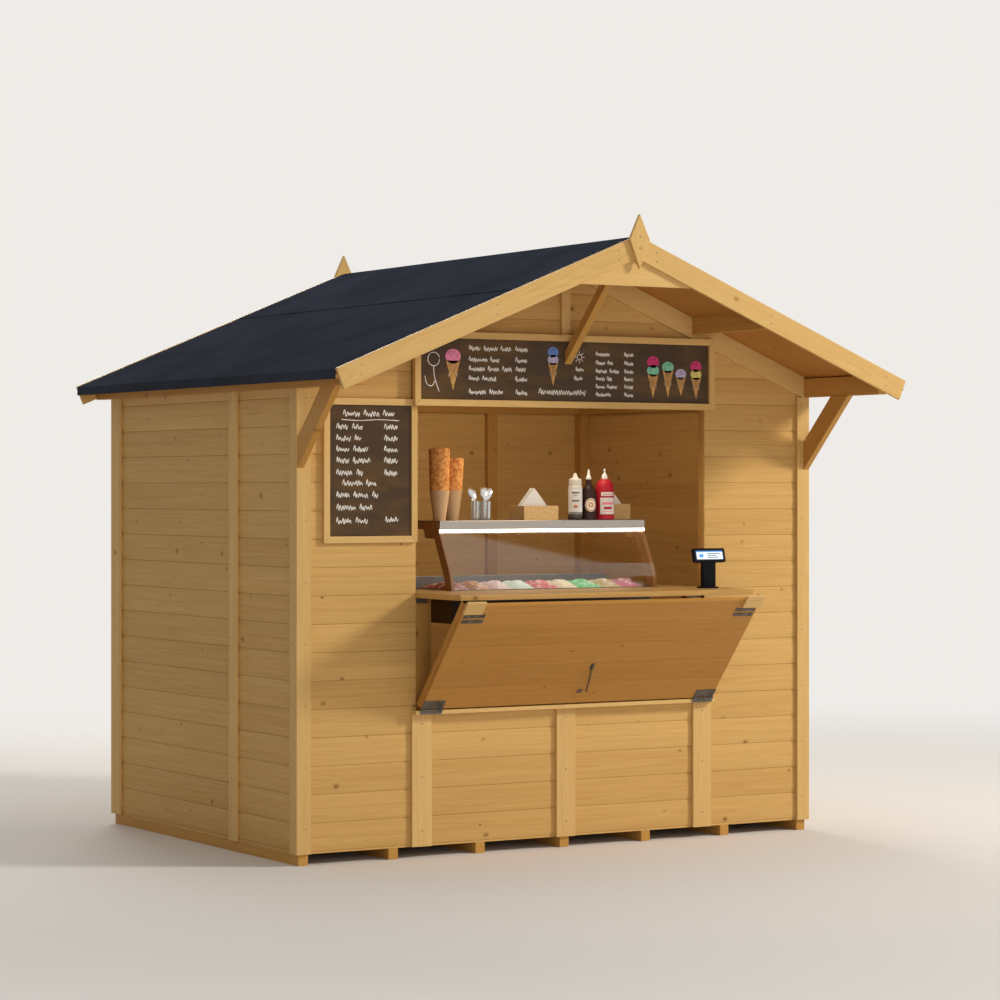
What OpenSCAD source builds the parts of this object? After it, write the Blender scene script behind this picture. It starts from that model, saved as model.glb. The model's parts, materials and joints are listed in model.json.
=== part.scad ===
// Street kiosk: a timber sales hut with a gable roof, a serving hatch and a
// chilled display case on the counter. Millimetres, +Z up, front towards -Y.
// The origin is on the ground in the middle of the outline.

/* [Body] */
// Width over the corner boards
body_w = 2780; // [2200:10:3600]
// Depth over the corner boards
body_d = 2000; // [1600:10:2800]
// Height of the side walls above the ground
eaves_z = 2090; // [1950:5:2600]
// Thickness of the cladding boards
clad_t = 20; // [16:1:28]
// Thickness of the corner boards and cover strips
cover_t = 16; // [12:1:22]
// Depth of the studs behind the cladding
stud_d = 32; // [28:1:60]
// Width of the studs
stud_w = 60; // [45:1:80]

/* [Floor] */
// Number of bearers under the floor
bearer_count = 7; // [4:1:9]
// Width of a bearer
bearer_w = 48; // [38:1:70]
// Height of a bearer
bearer_h = 50; // [40:1:100]
// Thickness of the floor boards
floor_t = 18; // [16:1:28]

/* [Roof] */
// Pitch of the roof in degrees
roof_pitch = 22.3; // [15:0.1:32]
// Overhang of the roof past each side wall
side_over = 117; // [80:1:220]
// Overhang of the roof past the front wall
front_over = 595; // [450:5:700]
// Overhang of the roof past the back wall
back_over = 165; // [100:5:300]
// Thickness of the roof boards
deck_t = 18; // [15:1:25]
// Thickness of one course of roofing felt
felt_t = 3; // [2:0.5:4]
// Distance from the ridge to the lap of the felt, measured level
felt_lap_x = 628; // [300:1:900]
// Depth of the felt turned down over the eaves
felt_turn = 44; // [30:1:60]
// Depth of the barge boards, rake boards and braces
board_d = 95; // [80:1:120]
// Thickness of the barge boards
barge_t = 18; // [14:1:25]
// Width of the purlins and braces
purlin_w = 45; // [38:1:60]
// Depth of the ridge purlin
ridge_purlin_h = 95; // [75:1:140]
// Depth of the mid purlins
mid_purlin_h = 80; // [70:1:120]
// Depth of the eaves purlins
eaves_purlin_h = 80; // [70:1:120]
// Distance from the ridge to the middle of a mid purlin
mid_purlin_x = 727; // [500:1:1000]
// Reach of the knee braces in front of the wall
knee_reach = 350; // [250:5:420]
// Reach of the centre brace in front of the header sign
centre_reach = 410; // [300:5:460]
// Height of the finial
finial_h = 240; // [160:1:300]
// Greatest width of the finial
finial_w = 106; // [70:1:140]
// Height of the finial above the ridge
finial_rise = 92; // [60:1:120]

/* [Serving hatch] */
// Width of the serving opening
opening_w = 1570; // [1200:10:1800]
// Height of the sill board's top
sill_z = 660; // [560:1:760]
// Height of the head of the opening
head_z = 2045; // [1900:1:2060]
// Projection of the sill board past the cover strips
sill_out = 34; // [26:1:60]
// Height of the counter
counter_z = 1185; // [1050:1:1250]
// Thickness of the counter
counter_t = 24; // [18:1:40]
// Projection of the counter past the front
counter_out = 380; // [300:1:450]
// Depth of the counter behind the front
counter_in = 560; // [520:1:700]
// Lean of the opened flap from upright, in degrees
flap_angle = 40; // [34:1:42]
// Length of the flap from its hinge pin
flap_len = 622; // [560:1:625]
// Thickness of the flap's face boards
flap_face_t = 18; // [14:1:24]
// Thickness of the flap's frame
flap_frame_t = 20; // [16:1:28]
// Width of the flap's frame members
flap_frame_w = 60; // [45:1:80]

/* [Hinges] */
// Radius of the hinge knuckles
knuckle_r = 5; // [4:0.5:7]
// Radius of the hinge pins
pin_r = 2.5; // [2:0.1:3]
// Length of a hinge
hinge_l = 112; // [80:1:140]
// Height of a hinge leaf on the flap
leaf_h = 46; // [30:1:60]
// Thickness of a hinge leaf
leaf_t = 2; // [1.5:0.5:3]
// Distance from a flap end to its hinge
hinge_inset = 4; // [2:1:60]

/* [Sign boards] */
// Width of the header sign
header_w = 1626; // [1500:2:1700]
// Lowest edge of the header sign
header_z0 = 2020; // [1980:1:2030]
// Height of the header sign
header_h = 335; // [260:1:360]
// Width of the sign frame members
sign_rim = 30; // [20:1:45]
// Thickness of the header sign's frame
header_t = 26; // [20:1:40]
// Width of the menu board
menu_w = 471; // [300:1:480]
// Lowest edge of the menu board
menu_z0 = 1410; // [1250:1:1500]
// Height of the menu board
menu_h = 640; // [400:1:640]
// Thickness of the menu board's frame
menu_t = 20; // [14:1:20]

/* [Display case] */
// Width of the display case
case_w = 1120; // [900:10:1200]
// Height of the top of the case above the counter
case_h = 318; // [280:1:380]
// Distance of the glass foot behind the front
glass_y = 80; // [60:1:100]
// Lean of the front glass from upright, in degrees
glass_lean = 27.5; // [20:0.5:30]
// Lean of the glass at its foot, in degrees
foot_lean = 6; // [2:1:12]
// Radius of the bend in the glass
bend_r = 330; // [250:10:420]
// Thickness of the glass
glass_t = 6; // [4:1:8]
// Thickness of the side frames
side_frame_t = 18; // [12:1:25]
// Number of ice cream pans
pan_count = 9; // [5:1:10]
// Depth of the chilled well below the counter
well_d = 150; // [120:1:200]

/* [Hidden] */

// Colours
pine = [0.84, 0.66, 0.42];
pine_dark = [0.66, 0.46, 0.26];
felt_grey = [0.18, 0.20, 0.24];
slate = [0.16, 0.13, 0.11];
steel = [0.72, 0.73, 0.75];

// Faces of the walls, from the outside in
total_d = body_d + front_over + back_over + 2 * barge_t;
front_y = barge_t + front_over - total_d / 2;
back_y = front_y + body_d;
clad_fy = front_y + cover_t;
in_fy = clad_fy + clad_t;
stud_fy = in_fy + stud_d;
clad_by = back_y - cover_t;
in_by = clad_by - clad_t;
side_x = body_w / 2;
clad_x = side_x - cover_t;
in_x = clad_x - clad_t;
floor_z = bearer_h + floor_t;

// Gaps that keep like pieces of one node apart, and clearances
joint_gap = 2;
fit_gap = 3;
cut_over = 20;
// Clearance between sloped boards that lie on each other
seat = 0.2;

// Roof planes
roof_half_w = side_x + side_over;
pitch_tan = tan(roof_pitch);
pitch_cos = cos(roof_pitch);
pitch_sin = sin(roof_pitch);
deck_v = deck_t / pitch_cos;
felt_v = felt_t / pitch_cos;
eaves_purlin_x0 = in_x + 6;
eaves_purlin_x1 = eaves_purlin_x0 + purlin_w;
ridge_z = eaves_z + eaves_purlin_h + pitch_tan * eaves_purlin_x1 + deck_v + 2 * felt_v;
function under(x) = ridge_z - 2 * felt_v - deck_v - pitch_tan * abs(x);
function deck_top(x) = under(x) + deck_v;
barge_fy = front_y - front_over;
barge_by = back_y + back_over;
roof_y0 = barge_fy + barge_t;
roof_y1 = barge_by - barge_t;
eave_top_z = ridge_z - pitch_tan * roof_half_w;
turn_z = eave_top_z - felt_turn;
deck_end = roof_half_w - felt_t;
ridge_purlin_z = under(purlin_w / 2) - ridge_purlin_h;
mid_purlin_z = under(mid_purlin_x - purlin_w / 2) - mid_purlin_h;
batten_w = 48;
gusset_drop = 224;

// Serving opening and counter
jamb_x = opening_w / 2;
sill_t = 18;
counter_under = counter_z - counter_t;
counter_y0 = front_y - counter_out;
counter_y1 = front_y + counter_in;
post_w = 90;
post_t = 45;
plate_h = 45;
flap_half_w = jamb_x + 10;
cover_w = 102;
cover_x = jamb_x + 27 - cover_w / 2;

// Staff door in the back wall, behind the display case
door_x0 = -730;
door_w = 680;
door_top = 1950;
casing_w = 70;

// Axis of the flap hinges
pin_y = front_y - sill_out - knuckle_r - 1;
pin_z = sill_z;
flap_start = 3;
plate_u = flap_len - 100;
flap_t = flap_face_t + flap_frame_t;

// Header sign, in front of the menu board's corner
header_back_y = clad_fy - menu_t;
header_fy = header_back_y - header_t;
header_panel_y = header_fy + 14;
menu_panel_y = header_back_y + 8;

// Display case
case_x = case_w / 2;
case_top_z = counter_z + case_h;
case_back_y = front_y + 470;
sheet_t = 6;
lip_h = 41;
light_h = 12;
glass_y0 = front_y + glass_y;
bend_y = glass_y0 + bend_r * cos(foot_lean);
bend_z = counter_z - bend_r * sin(foot_lean);
leg_d = 54;
glass_seat = 0.3;
well_y0 = front_y + 112;
well_y1 = front_y + 505;
well_x = case_x - side_frame_t;
well_wall = 8;
well_rim = 4;
well_back_h = 55;

// Goods on the case
goods_y = front_y + 300;
bottle_y = goods_y - 50;

module box(x0, x1, y0, y1, z0, z1) {
  translate([x0, y0, z0]) cube([x1 - x0, y1 - y0, z1 - z0]);
}

// An outline in X and Z, pulled from y0 to y1
module along_y(y0, y1) {
  translate([0, y1, 0]) rotate([90, 0, 0]) linear_extrude(y1 - y0) children();
}

// An outline in Y and Z, pulled from x0 to x1
module along_x(x0, x1) {
  translate([x0, 0, 0]) rotate([90, 0, 90]) linear_extrude(x1 - x0) children();
}

module both_sides() {
  children();
  mirror([1, 0, 0]) children();
}

// Floor

module floor_bearers() color(pine_dark) {
  span = 2 * (clad_x - bearer_w / 2);
  for (i = [0 : bearer_count - 1]) {
    x = -span / 2 + span * i / (bearer_count - 1);
    box(x - bearer_w / 2, x + bearer_w / 2, clad_fy, clad_by, 0, bearer_h);
  }
}

module floor_deck() color(pine) {
  box(-in_x, in_x, in_fy, in_by, bearer_h, floor_z);
}

// Walls

module front_wall_sides() color(pine) both_sides() {
  box(jamb_x, in_x, clad_fy, in_fy, bearer_h, eaves_z);
}

module front_wall_lower() color(pine) {
  box(-jamb_x + 1, jamb_x - 1, clad_fy, in_fy, bearer_h, sill_z - sill_t);
}

module purlin_cuts() {
  ridge_purlin_outline(cut_over);
  both_sides() mid_purlin_outline(cut_over);
}

// The triangle over a wall whose opening runs from x0 to x1 up to z
module gable_outline(x0, x1, z) {
  gx = eaves_purlin_x0;
  difference() {
    polygon([
      [-gx, eaves_z], [x0, eaves_z], [x0, z], [x1, z], [x1, eaves_z], [gx, eaves_z],
      [gx, under(gx)], [0, under(0)], [-gx, under(gx)]
    ]);
    purlin_cuts();
  }
}

module front_gable() color(pine) {
  along_y(clad_fy, in_fy) gable_outline(-jamb_x, jamb_x, head_z);
}

module side_wall() {
  joint_y = front_y + 642;
  box(in_x, clad_x, clad_fy, joint_y - joint_gap / 2, bearer_h, eaves_z);
  box(in_x, clad_x, joint_y + joint_gap / 2, clad_by, bearer_h, eaves_z);
}

module left_wall() color(pine) mirror([1, 0, 0]) side_wall();
module right_wall() color(pine) side_wall();

module back_wall_sides() color(pine) {
  box(-in_x, door_x0, in_by, clad_by, bearer_h, eaves_z);
  box(door_x0 + door_w, in_x, in_by, clad_by, bearer_h, eaves_z);
}

module back_gable() color(pine) {
  along_y(in_by, clad_by) gable_outline(door_x0, door_x0 + door_w, door_top);
}

module back_door() color(pine) {
  x0 = door_x0 + fit_gap;
  x1 = door_x0 + door_w - fit_gap;
  ledge_inset = 70;
  ledge_t = 20;
  box(x0, x1, in_by, clad_by, floor_z + fit_gap, door_top - fit_gap);
  for (z = [220, 960, 1700])
    box(x0 + ledge_inset, x1 - ledge_inset, in_by - ledge_t, in_by, z, z + board_d);
}

module back_door_fittings() color(steel) {
  strap_l = 260;
  strap_h = 32;
  barrel_r = 7;
  for (z = [267, 1747]) {
    box(door_x0 + barrel_r, door_x0 + barrel_r + strap_l, clad_by, clad_by + 3,
        z - strap_h / 2, z + strap_h / 2);
    translate([door_x0 + barrel_r, clad_by + barrel_r, z - 35]) cylinder(r = barrel_r, h = 70, $fn = 24);
  }
  handle_x = door_x0 + door_w - 60;
  box(handle_x - 20, handle_x + 20, clad_by, clad_by + 4, 950, 1130);
  translate([handle_x, clad_by + 4, 1075]) rotate([-90, 0, 0]) cylinder(r = 9, h = 40, $fn = 24);
  box(handle_x - 110, handle_x + 9, clad_by + 36, clad_by + 50, 1066, 1084);
}

module wall_studs() color(pine_dark) {
  stud_top = eaves_z - plate_h;
  side_stud_y = front_y + 642;
  both_sides() {
    box(in_x - stud_w, in_x, in_fy, in_fy + stud_w, floor_z, stud_top);
    box(in_x - stud_w, in_x, in_by - stud_w, in_by, floor_z, stud_top);
    box(in_x - stud_d, in_x, side_stud_y - stud_w / 2, side_stud_y + stud_w / 2, floor_z, stud_top);
    box(jamb_x, jamb_x + stud_w, in_fy, stud_fy, floor_z, stud_top);
    box(762 - stud_w / 2, 762 + stud_w / 2, in_by - stud_d, in_by, floor_z, stud_top);
  }
  door_stud_x = door_x0 + door_w;
  box(door_stud_x, door_stud_x + stud_w, in_by - stud_d, in_by, floor_z, stud_top);
}

module wall_plates() color(pine_dark) {
  plate_x = in_x - plate_h;
  both_sides() box(plate_x, in_x, in_fy, in_by, eaves_z - plate_h, eaves_z);
  inner_x = plate_x - joint_gap / 2;
  box(-inner_x, inner_x, in_fy, stud_fy, eaves_z - plate_h, eaves_z);
  box(-inner_x, inner_x, in_by - stud_d, in_by, eaves_z - plate_h, eaves_z);
}

module corner_boards() color(pine) both_sides() {
  front_w = 70;
  back_w = 100;
  box(side_x - front_w, side_x, front_y, clad_fy, bearer_h, eaves_z);
  box(clad_x, side_x, clad_fy, front_y + front_w, bearer_h, eaves_z);
  box(side_x - front_w, side_x, clad_by, back_y, bearer_h, eaves_z);
  box(clad_x, side_x, back_y - back_w, clad_by, bearer_h, eaves_z);
}

module cover_strips() color(pine) {
  strip_top = sill_z - sill_t;
  for (x = [-cover_x, 0, cover_x])
    box(x - cover_w / 2, x + cover_w / 2, front_y, clad_fy, bearer_h, strip_top);
  both_sides() box(clad_x, side_x, front_y + 607, front_y + 677, bearer_h, eaves_z);
  box(door_x0 - casing_w, door_x0, clad_by, back_y, bearer_h, door_top);
  box(door_x0 + door_w, door_x0 + door_w + casing_w, clad_by, back_y, bearer_h, door_top);
  box(door_x0 - casing_w, door_x0 + door_w + casing_w, clad_by, back_y,
      door_top + joint_gap, door_top + joint_gap + casing_w);
}

module rake_outline() {
  rake_v = board_d / pitch_cos;
  x0 = batten_w / 2;
  x1 = eaves_purlin_x0;
  clip_x = x1 - (under(x1) - rake_v < eaves_z ? (eaves_z - under(x1) + rake_v) / pitch_tan : 0);
  difference() {
    polygon([
      [x0, under(x0)], [x1, under(x1)], [x1, max(eaves_z, under(x1) - rake_v)],
      [clip_x, under(clip_x) - rake_v], [x0, under(x0) - rake_v]
    ]);
    purlin_cuts();
  }
}

module gable_trim() color(pine) {
  along_y(front_y, clad_fy) both_sides() rake_outline();
  box(-batten_w / 2, batten_w / 2, front_y, clad_fy, header_z0 + header_h, ridge_purlin_z);
}

// Roof

module ridge_purlin_outline(rise = 0) {
  w = purlin_w / 2;
  polygon([[-w, ridge_purlin_z], [w, ridge_purlin_z], [w, under(w) + rise], [0, under(0) + rise],
           [-w, under(w) + rise]]);
}

module mid_purlin_outline(rise = 0) {
  x0 = mid_purlin_x - purlin_w / 2;
  x1 = x0 + purlin_w;
  polygon([[x0, mid_purlin_z], [x1, mid_purlin_z], [x1, under(x1) + rise], [x0, under(x0) + rise]]);
}

// The slit leaves a dark line between an eaves purlin and the roof boards
module eaves_purlin_outline() {
  slit = 8;
  polygon([
    [eaves_purlin_x0, eaves_z], [eaves_purlin_x1, eaves_z],
    [eaves_purlin_x1, under(eaves_purlin_x1)], [eaves_purlin_x0, under(eaves_purlin_x0) - slit]
  ]);
}

module purlins() color(pine_dark) {
  along_y(roof_y0 + barge_t, roof_y1) ridge_purlin_outline();
  both_sides() along_y(roof_y0, roof_y1) {
    mid_purlin_outline();
    eaves_purlin_outline();
  }
}

module roof_deck() color(pine) both_sides() {
  x0 = joint_gap / 2;
  along_y(roof_y0, roof_y1)
    polygon([
      [x0, under(x0) + seat], [deck_end - seat, under(deck_end) + seat],
      [deck_end - seat, deck_top(deck_end) - seat], [x0, deck_top(x0) - seat]
    ]);
}

// Two courses a side: the upper one goes over the ridge and laps the lower one
function felt_side() = [
  [felt_lap_x, deck_top(felt_lap_x) + 2 * felt_v],
  [felt_lap_x, deck_top(felt_lap_x) + felt_v],
  [roof_half_w, deck_top(roof_half_w) + felt_v],
  [roof_half_w, turn_z],
  [deck_end, turn_z],
  [deck_end, deck_top(deck_end)]
];
function mirrored(points) = [for (i = [len(points) - 1 : -1 : 0]) [-points[i][0], points[i][1]]];

module roof_felt() color(felt_grey) {
  along_y(roof_y0, roof_y1) polygon(concat(
    [[0, deck_top(0) + 2 * felt_v]], felt_side(), [[0, deck_top(0)]], mirrored(felt_side())
  ));
}

module eaves_battens() color(pine_dark) both_sides() {
  x0 = deck_end - 22;
  along_y(roof_y0, roof_y1)
    polygon([[x0, turn_z + 2], [deck_end, turn_z + 2], [deck_end, under(deck_end)], [x0, under(x0)]]);
}

module barge_outline() {
  mitre = joint_gap / 4;
  polygon([
    [mitre, ridge_z - pitch_tan * mitre], [roof_half_w, eave_top_z],
    [roof_half_w - board_d * pitch_sin, eave_top_z - board_d * pitch_cos],
    [mitre, ridge_z - board_d / pitch_cos - pitch_tan * mitre]
  ]);
}

module bargeboards() color(pine) both_sides() {
  along_y(barge_fy, roof_y0) barge_outline();
  along_y(roof_y1, barge_by) barge_outline();
}

module finial(y) {
  top = ridge_z + finial_rise;
  widest = top - 0.47 * finial_h;
  along_y(y, y + barge_t)
    polygon([[0, top], [-finial_w / 2, widest], [0, top - finial_h], [finial_w / 2, widest]]);
}

module finials() color(pine) {
  finial(barge_fy - barge_t);
  finial(barge_by);
}

module apex_gusset() color(pine) {
  z = ridge_z - gusset_drop;
  x = (gusset_drop - board_d / pitch_cos) / pitch_tan;
  along_y(roof_y0, roof_y0 + barge_t)
    polygon([[-x, z], [x, z], [x, under(x)], [0, under(0)], [-x, under(x)]]);
}

// Braces

module knee_braces() color(pine_dark) both_sides() {
  brace_v = board_d / cos(45);
  x0 = in_x - 6;
  along_x(x0, x0 + purlin_w) polygon([
    [front_y, eaves_z - knee_reach], [front_y, eaves_z - knee_reach + brace_v],
    [front_y - knee_reach + brace_v, eaves_z], [front_y - knee_reach, eaves_z]
  ]);
}

// Housed over the top of the header sign's frame
module centre_brace() color(pine_dark) {
  sign_top = header_z0 + header_h;
  foot_z = sign_top - 120;
  slope = (ridge_purlin_z - foot_z) / centre_reach;
  brace_v = board_d * sqrt(1 + slope * slope);
  lower_y = function (z) header_fy - (z - foot_z) / slope;
  upper_y = function (z) lower_y(z) + brace_v / slope;
  along_x(-purlin_w / 2, purlin_w / 2) polygon([
    [header_panel_y, foot_z - (header_panel_y - header_fy) * slope],
    [header_panel_y, sign_top - sign_rim], [header_fy, sign_top - sign_rim],
    [header_fy, sign_top], [upper_y(sign_top), sign_top],
    [upper_y(ridge_purlin_z), ridge_purlin_z], [lower_y(ridge_purlin_z), ridge_purlin_z]
  ]);
}

// Serving hatch

module sill_board() color(pine) {
  inner_x = jamb_x - post_w - 1;
  box(-jamb_x + 1, jamb_x - 1, front_y - sill_out, in_fy, sill_z - sill_t, sill_z);
  box(-inner_x, inner_x, in_fy, stud_fy, sill_z - sill_t, sill_z);
  both_sides() box(jamb_x - 1, flap_half_w + 16, front_y - sill_out, clad_fy, sill_z - sill_t, sill_z);
}

hinge_x0 = flap_half_w - hinge_inset - hinge_l;
knuckle_l = hinge_l / 3;
knuckle_gap = 0.5;

module knuckle(x0, x1) {
  translate([x0, 0, 0]) rotate([0, 90, 0]) difference() {
    cylinder(r = knuckle_r, h = x1 - x0, $fn = 32);
    translate([0, 0, -1]) cylinder(r = pin_r + 0.15, h = x1 - x0 + 2, $fn = 32);
  }
}

// The middle knuckle, its leaf on the edge of the sill board, and the pin
module sill_hinges() color(steel) both_sides() {
  x0 = hinge_x0 + knuckle_l + knuckle_gap;
  x1 = hinge_x0 + 2 * knuckle_l - knuckle_gap;
  edge_y = front_y - sill_out;
  leaf_top = pin_z - knuckle_r - 0.5;
  box(hinge_x0, hinge_x0 + hinge_l, edge_y - leaf_t, edge_y, sill_z - sill_t + 1, leaf_top);
  difference() {
    union() {
      translate([x0, pin_y, pin_z]) rotate([0, 90, 0]) cylinder(r = knuckle_r, h = x1 - x0, $fn = 32);
      box(x0, x1, pin_y, edge_y, leaf_top - 1, pin_z);
    }
    box(x0 - 1, x1 + 1, edge_y - leaf_t, edge_y + 1, leaf_top - 2, leaf_top);
  }
  translate([hinge_x0 - 1, pin_y, pin_z]) rotate([0, 90, 0]) cylinder(r = pin_r, h = hinge_l + 2, $fn = 32);
}

module counter_shelf() color(pine) difference() {
  x = jamb_x - 2;
  box(-x, x, counter_y0, counter_y1, counter_under, counter_z);
  box(-well_x, well_x, well_y0, well_y1, counter_under - 1, counter_z + 1);
}

module counter_posts() color(pine_dark) both_sides() {
  rear_w = 45;
  box(jamb_x - post_w, jamb_x - 2, in_fy, in_fy + post_t, floor_z, counter_under);
  box(jamb_x - 2 - rear_w, jamb_x - 2, counter_y1 - rear_w, counter_y1, floor_z, counter_under);
}

module shelf_brackets() color([0.3, 0.3, 0.32]) both_sides() {
  x0 = jamb_x - 70;
  x1 = jamb_x - 14;
  arm = 36;
  drop = 25;
  t = 3;
  along_x(x0, x1) polygon([
    [in_fy, counter_under], [in_fy - arm, counter_under], [in_fy - arm, counter_under - t],
    [in_fy - t, counter_under - t], [in_fy - t, counter_under - drop], [in_fy, counter_under - drop]
  ]);
}

// Sign boards

module ring(x0, x1, y0, y1, z0, z1, rim) {
  along_y(y0, y1) difference() {
    translate([x0, z0]) square([x1 - x0, z1 - z0]);
    translate([x0 + rim, z0 + rim]) square([x1 - x0 - 2 * rim, z1 - z0 - 2 * rim]);
  }
}

module header_sign_frame() color(pine) {
  ring(-header_w / 2, header_w / 2, header_fy, header_back_y, header_z0, header_z0 + header_h, sign_rim);
}

module header_sign_panel() color(slate) {
  x = header_w / 2 - sign_rim;
  z0 = header_z0 + sign_rim;
  z1 = header_z0 + header_h - sign_rim;
  box_inset = 90;
  box(-x, x, header_panel_y, front_y, z0, z1);
  box(-x + box_inset, x - box_inset, front_y, clad_fy, z0, z1);
}

menu_x1 = -jamb_x - 1;
menu_x0 = menu_x1 - menu_w;

module menu_board_frame() color(pine) {
  ring(menu_x0, menu_x1, header_back_y, clad_fy, menu_z0, menu_z0 + menu_h, sign_rim);
}

module menu_board_panel() color(slate) {
  box(menu_x0 + sign_rim, menu_x1 - sign_rim, menu_panel_y, clad_fy,
      menu_z0 + sign_rim, menu_z0 + menu_h - sign_rim);
}

// Display case

// Side view of the case's front, moved in by off: a bend at the foot, then
// a straight lean up to the height z
function foot_at(off) = asin((counter_z - bend_z) / (bend_r - off));
function on_bend(off, a) = [bend_y - (bend_r - off) * cos(a), bend_z + (bend_r - off) * sin(a)];
function on_lean(off, z) =
  let (p = on_bend(off, glass_lean)) [p[0] + (z - p[1]) * tan(glass_lean), z];
function case_curve(off, z) = concat(
  [for (i = [0 : 6]) on_bend(off, foot_at(off) + (glass_lean - foot_at(off)) * i / 6)],
  [on_lean(off, z)]
);
function backwards(points) = [for (i = [len(points) - 1 : -1 : 0]) points[i]];

module case_side_frames() color([0.42, 0.27, 0.15]) both_sides() {
  top = case_top_z - sheet_t;
  arm_z = top - 34;
  step_z = arm_z - 42;
  front_off = glass_t + glass_seat;
  step_y = on_lean(front_off + leg_d, step_z)[0] + 86;
  along_x(case_x - side_frame_t, case_x) polygon(concat(
    case_curve(front_off, top),
    [[case_back_y, top], [case_back_y, arm_z], [step_y + 16, arm_z], [step_y + 4, arm_z - 8],
     [step_y, step_z + 6], [step_y - 6, step_z]],
    backwards(case_curve(front_off + leg_d, step_z))
  ));
}

module case_glass() color([0.75, 0.85, 0.88, 0.35]) {
  z1 = case_top_z - lip_h - 1;
  along_x(-case_x, case_x) polygon(concat(case_curve(0, z1), backwards(case_curve(glass_t, z1))));
}

// A folded sheet whose lip hangs in front of the glass
lip_y = on_lean(0, case_top_z - lip_h)[0] - 8;

module case_top() color(steel) {
  along_x(-case_x, case_x) polygon([
    [lip_y, case_top_z - lip_h], [lip_y, case_top_z - 2], [lip_y + 2, case_top_z],
    [case_back_y, case_top_z], [case_back_y, case_top_z - sheet_t + seat],
    [lip_y + sheet_t, case_top_z - sheet_t + seat], [lip_y + sheet_t, case_top_z - lip_h]
  ]);
}

module case_light() color([0.97, 0.97, 0.95]) {
  z1 = case_top_z - lip_h;
  z0 = z1 - light_h;
  along_x(-case_x, case_x) polygon([
    [lip_y, z0], [lip_y, z1], [on_lean(0, z1)[0] - glass_seat, z1], [on_lean(0, z0)[0] - glass_seat, z0]
  ]);
}

module case_well() color(steel) {
  z0 = counter_z - well_d;
  difference() {
    union() {
      box(-well_x, well_x, well_y0, well_y1, z0, counter_z);
      box(-well_x, well_x, well_y0, well_y1 + well_wall, counter_z, counter_z + well_rim);
      box(-well_x, well_x, well_y1 - well_wall, well_y1, counter_z, counter_z + well_back_h);
    }
    box(-well_x + well_wall, well_x - well_wall, well_y0 + well_wall, well_y1 - well_wall,
        z0 + well_wall, counter_z + well_back_h + 1);
  }
}

// Each pan with its ice cream heaped a little towards the back
module ice_cream_pans() color([0.93, 0.85, 0.72]) {
  inner = 2 * (well_x - well_wall);
  pitch = inner / pan_count;
  y0 = well_y0 + well_wall + 1;
  y1 = well_y1 - well_wall - 1;
  floor_pan = counter_z - well_d + well_wall;
  for (i = [0 : pan_count - 1]) {
    x = -inner / 2 + pitch * i;
    along_x(x + 1, x + pitch - 1) polygon([
      [y0, floor_pan], [y0, counter_z + 6], [y0 + 60, counter_z + 22], [y0 + 170, counter_z + 40],
      [y0 + 280, counter_z + 38], [y1 - 30, counter_z + 20], [y1, counter_z + 6], [y1, floor_pan]
    ]);
  }
}

// Goods on the case

// A stack of rolled cones with a slanted rim, hollow at the top, whose foot
// narrows in its sleeve
module cone_stack(r_foot, r_sleeve, r_rim, h) {
  sleeve_h = 139;
  slant = 28;
  hollow = 90;
  difference() {
    rotate_extrude($fn = 48) polygon([
      [0, 0], [r_foot, 0], [r_sleeve, sleeve_h], [r_rim, h], [r_rim - 3, h], [1, h - hollow], [0, h - hollow]
    ]);
    translate([0, 0, h - slant]) rotate([0, -atan(slant / r_rim / 2), 0])
      translate([-2 * r_rim, -2 * r_rim, slant / 2]) cube([4 * r_rim, 4 * r_rim, 2 * slant]);
  }
}

module waffle_cones() color([0.80, 0.50, 0.22]) {
  translate([-500, goods_y, case_top_z]) cone_stack(28, 46, 51, 337);
  translate([-397, goods_y + 60, case_top_z]) cone_stack(30, 47, 54, 290);
}

module spoon_glass(x, r) {
  glass_h = 88;
  wall = 2.2;
  foot_t = 8;
  translate([x, goods_y, case_top_z]) rotate_extrude($fn = 48) polygon([
    [0, 0], [r - 2, 0], [r, glass_h], [r - wall, glass_h], [r - 2 - wall, foot_t], [0, foot_t]
  ]);
}

module spoon_glasses() color([0.85, 0.87, 0.88]) {
  spoon_glass(-310, 18);
  spoon_glass(-257, 27);
}

// An upright stem on the foot of its glass, with an oval blade that leans
module spoon(x, y, lean) {
  stem_l = 88;
  blade_r = 15;
  blade_l = 27;
  blade_t = 5;
  translate([x, goods_y + y, case_top_z + 8]) {
    cylinder(r = 3.5, h = stem_l, $fn = 16);
    translate([0, 0, stem_l - 4]) rotate([90, lean, 0]) translate([0, blade_r, -blade_t / 2]) {
      cylinder(r = blade_r, h = blade_t, $fn = 40);
      translate([0, blade_l, 0]) cylinder(r = blade_r, h = blade_t, $fn = 40);
      translate([-blade_r, 0, 0]) cube([2 * blade_r, blade_l, blade_t]);
    }
  }
}

module spoons() color(steel) {
  spoon(-313, 0, -25);
  spoon(-266, -9, -3);
  spoon(-248, 9, 24);
}

// A card box open at the top, with a stack of folded napkins upright in it
module napkin_box(x, y, w, h, peak_x, half, peak_h) {
  depth = 134;
  wall = 5;
  fill = 40;
  stack_t = 40;
  translate([x, y, case_top_z]) difference() {
    cube([w, depth, h]);
    translate([wall, wall, fill]) cube([w - 2 * wall, depth - 2 * wall, h]);
  }
  translate([peak_x, y + depth / 2 + stack_t / 2, case_top_z + fill]) rotate([90, 0, 0]) linear_extrude(stack_t)
    polygon([[-half, 0], [half, 0], [half, h - fill], [0, peak_h - fill], [-half, h - fill]]);
}

module napkin_boxes() color([0.80, 0.66, 0.45]) {
  napkin_box(-82, goods_y - 64, 188, 66, 4, 82, 152);
  napkin_box(430, goods_y + 5, 126, 73, 496, 52, 124);
}

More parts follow.
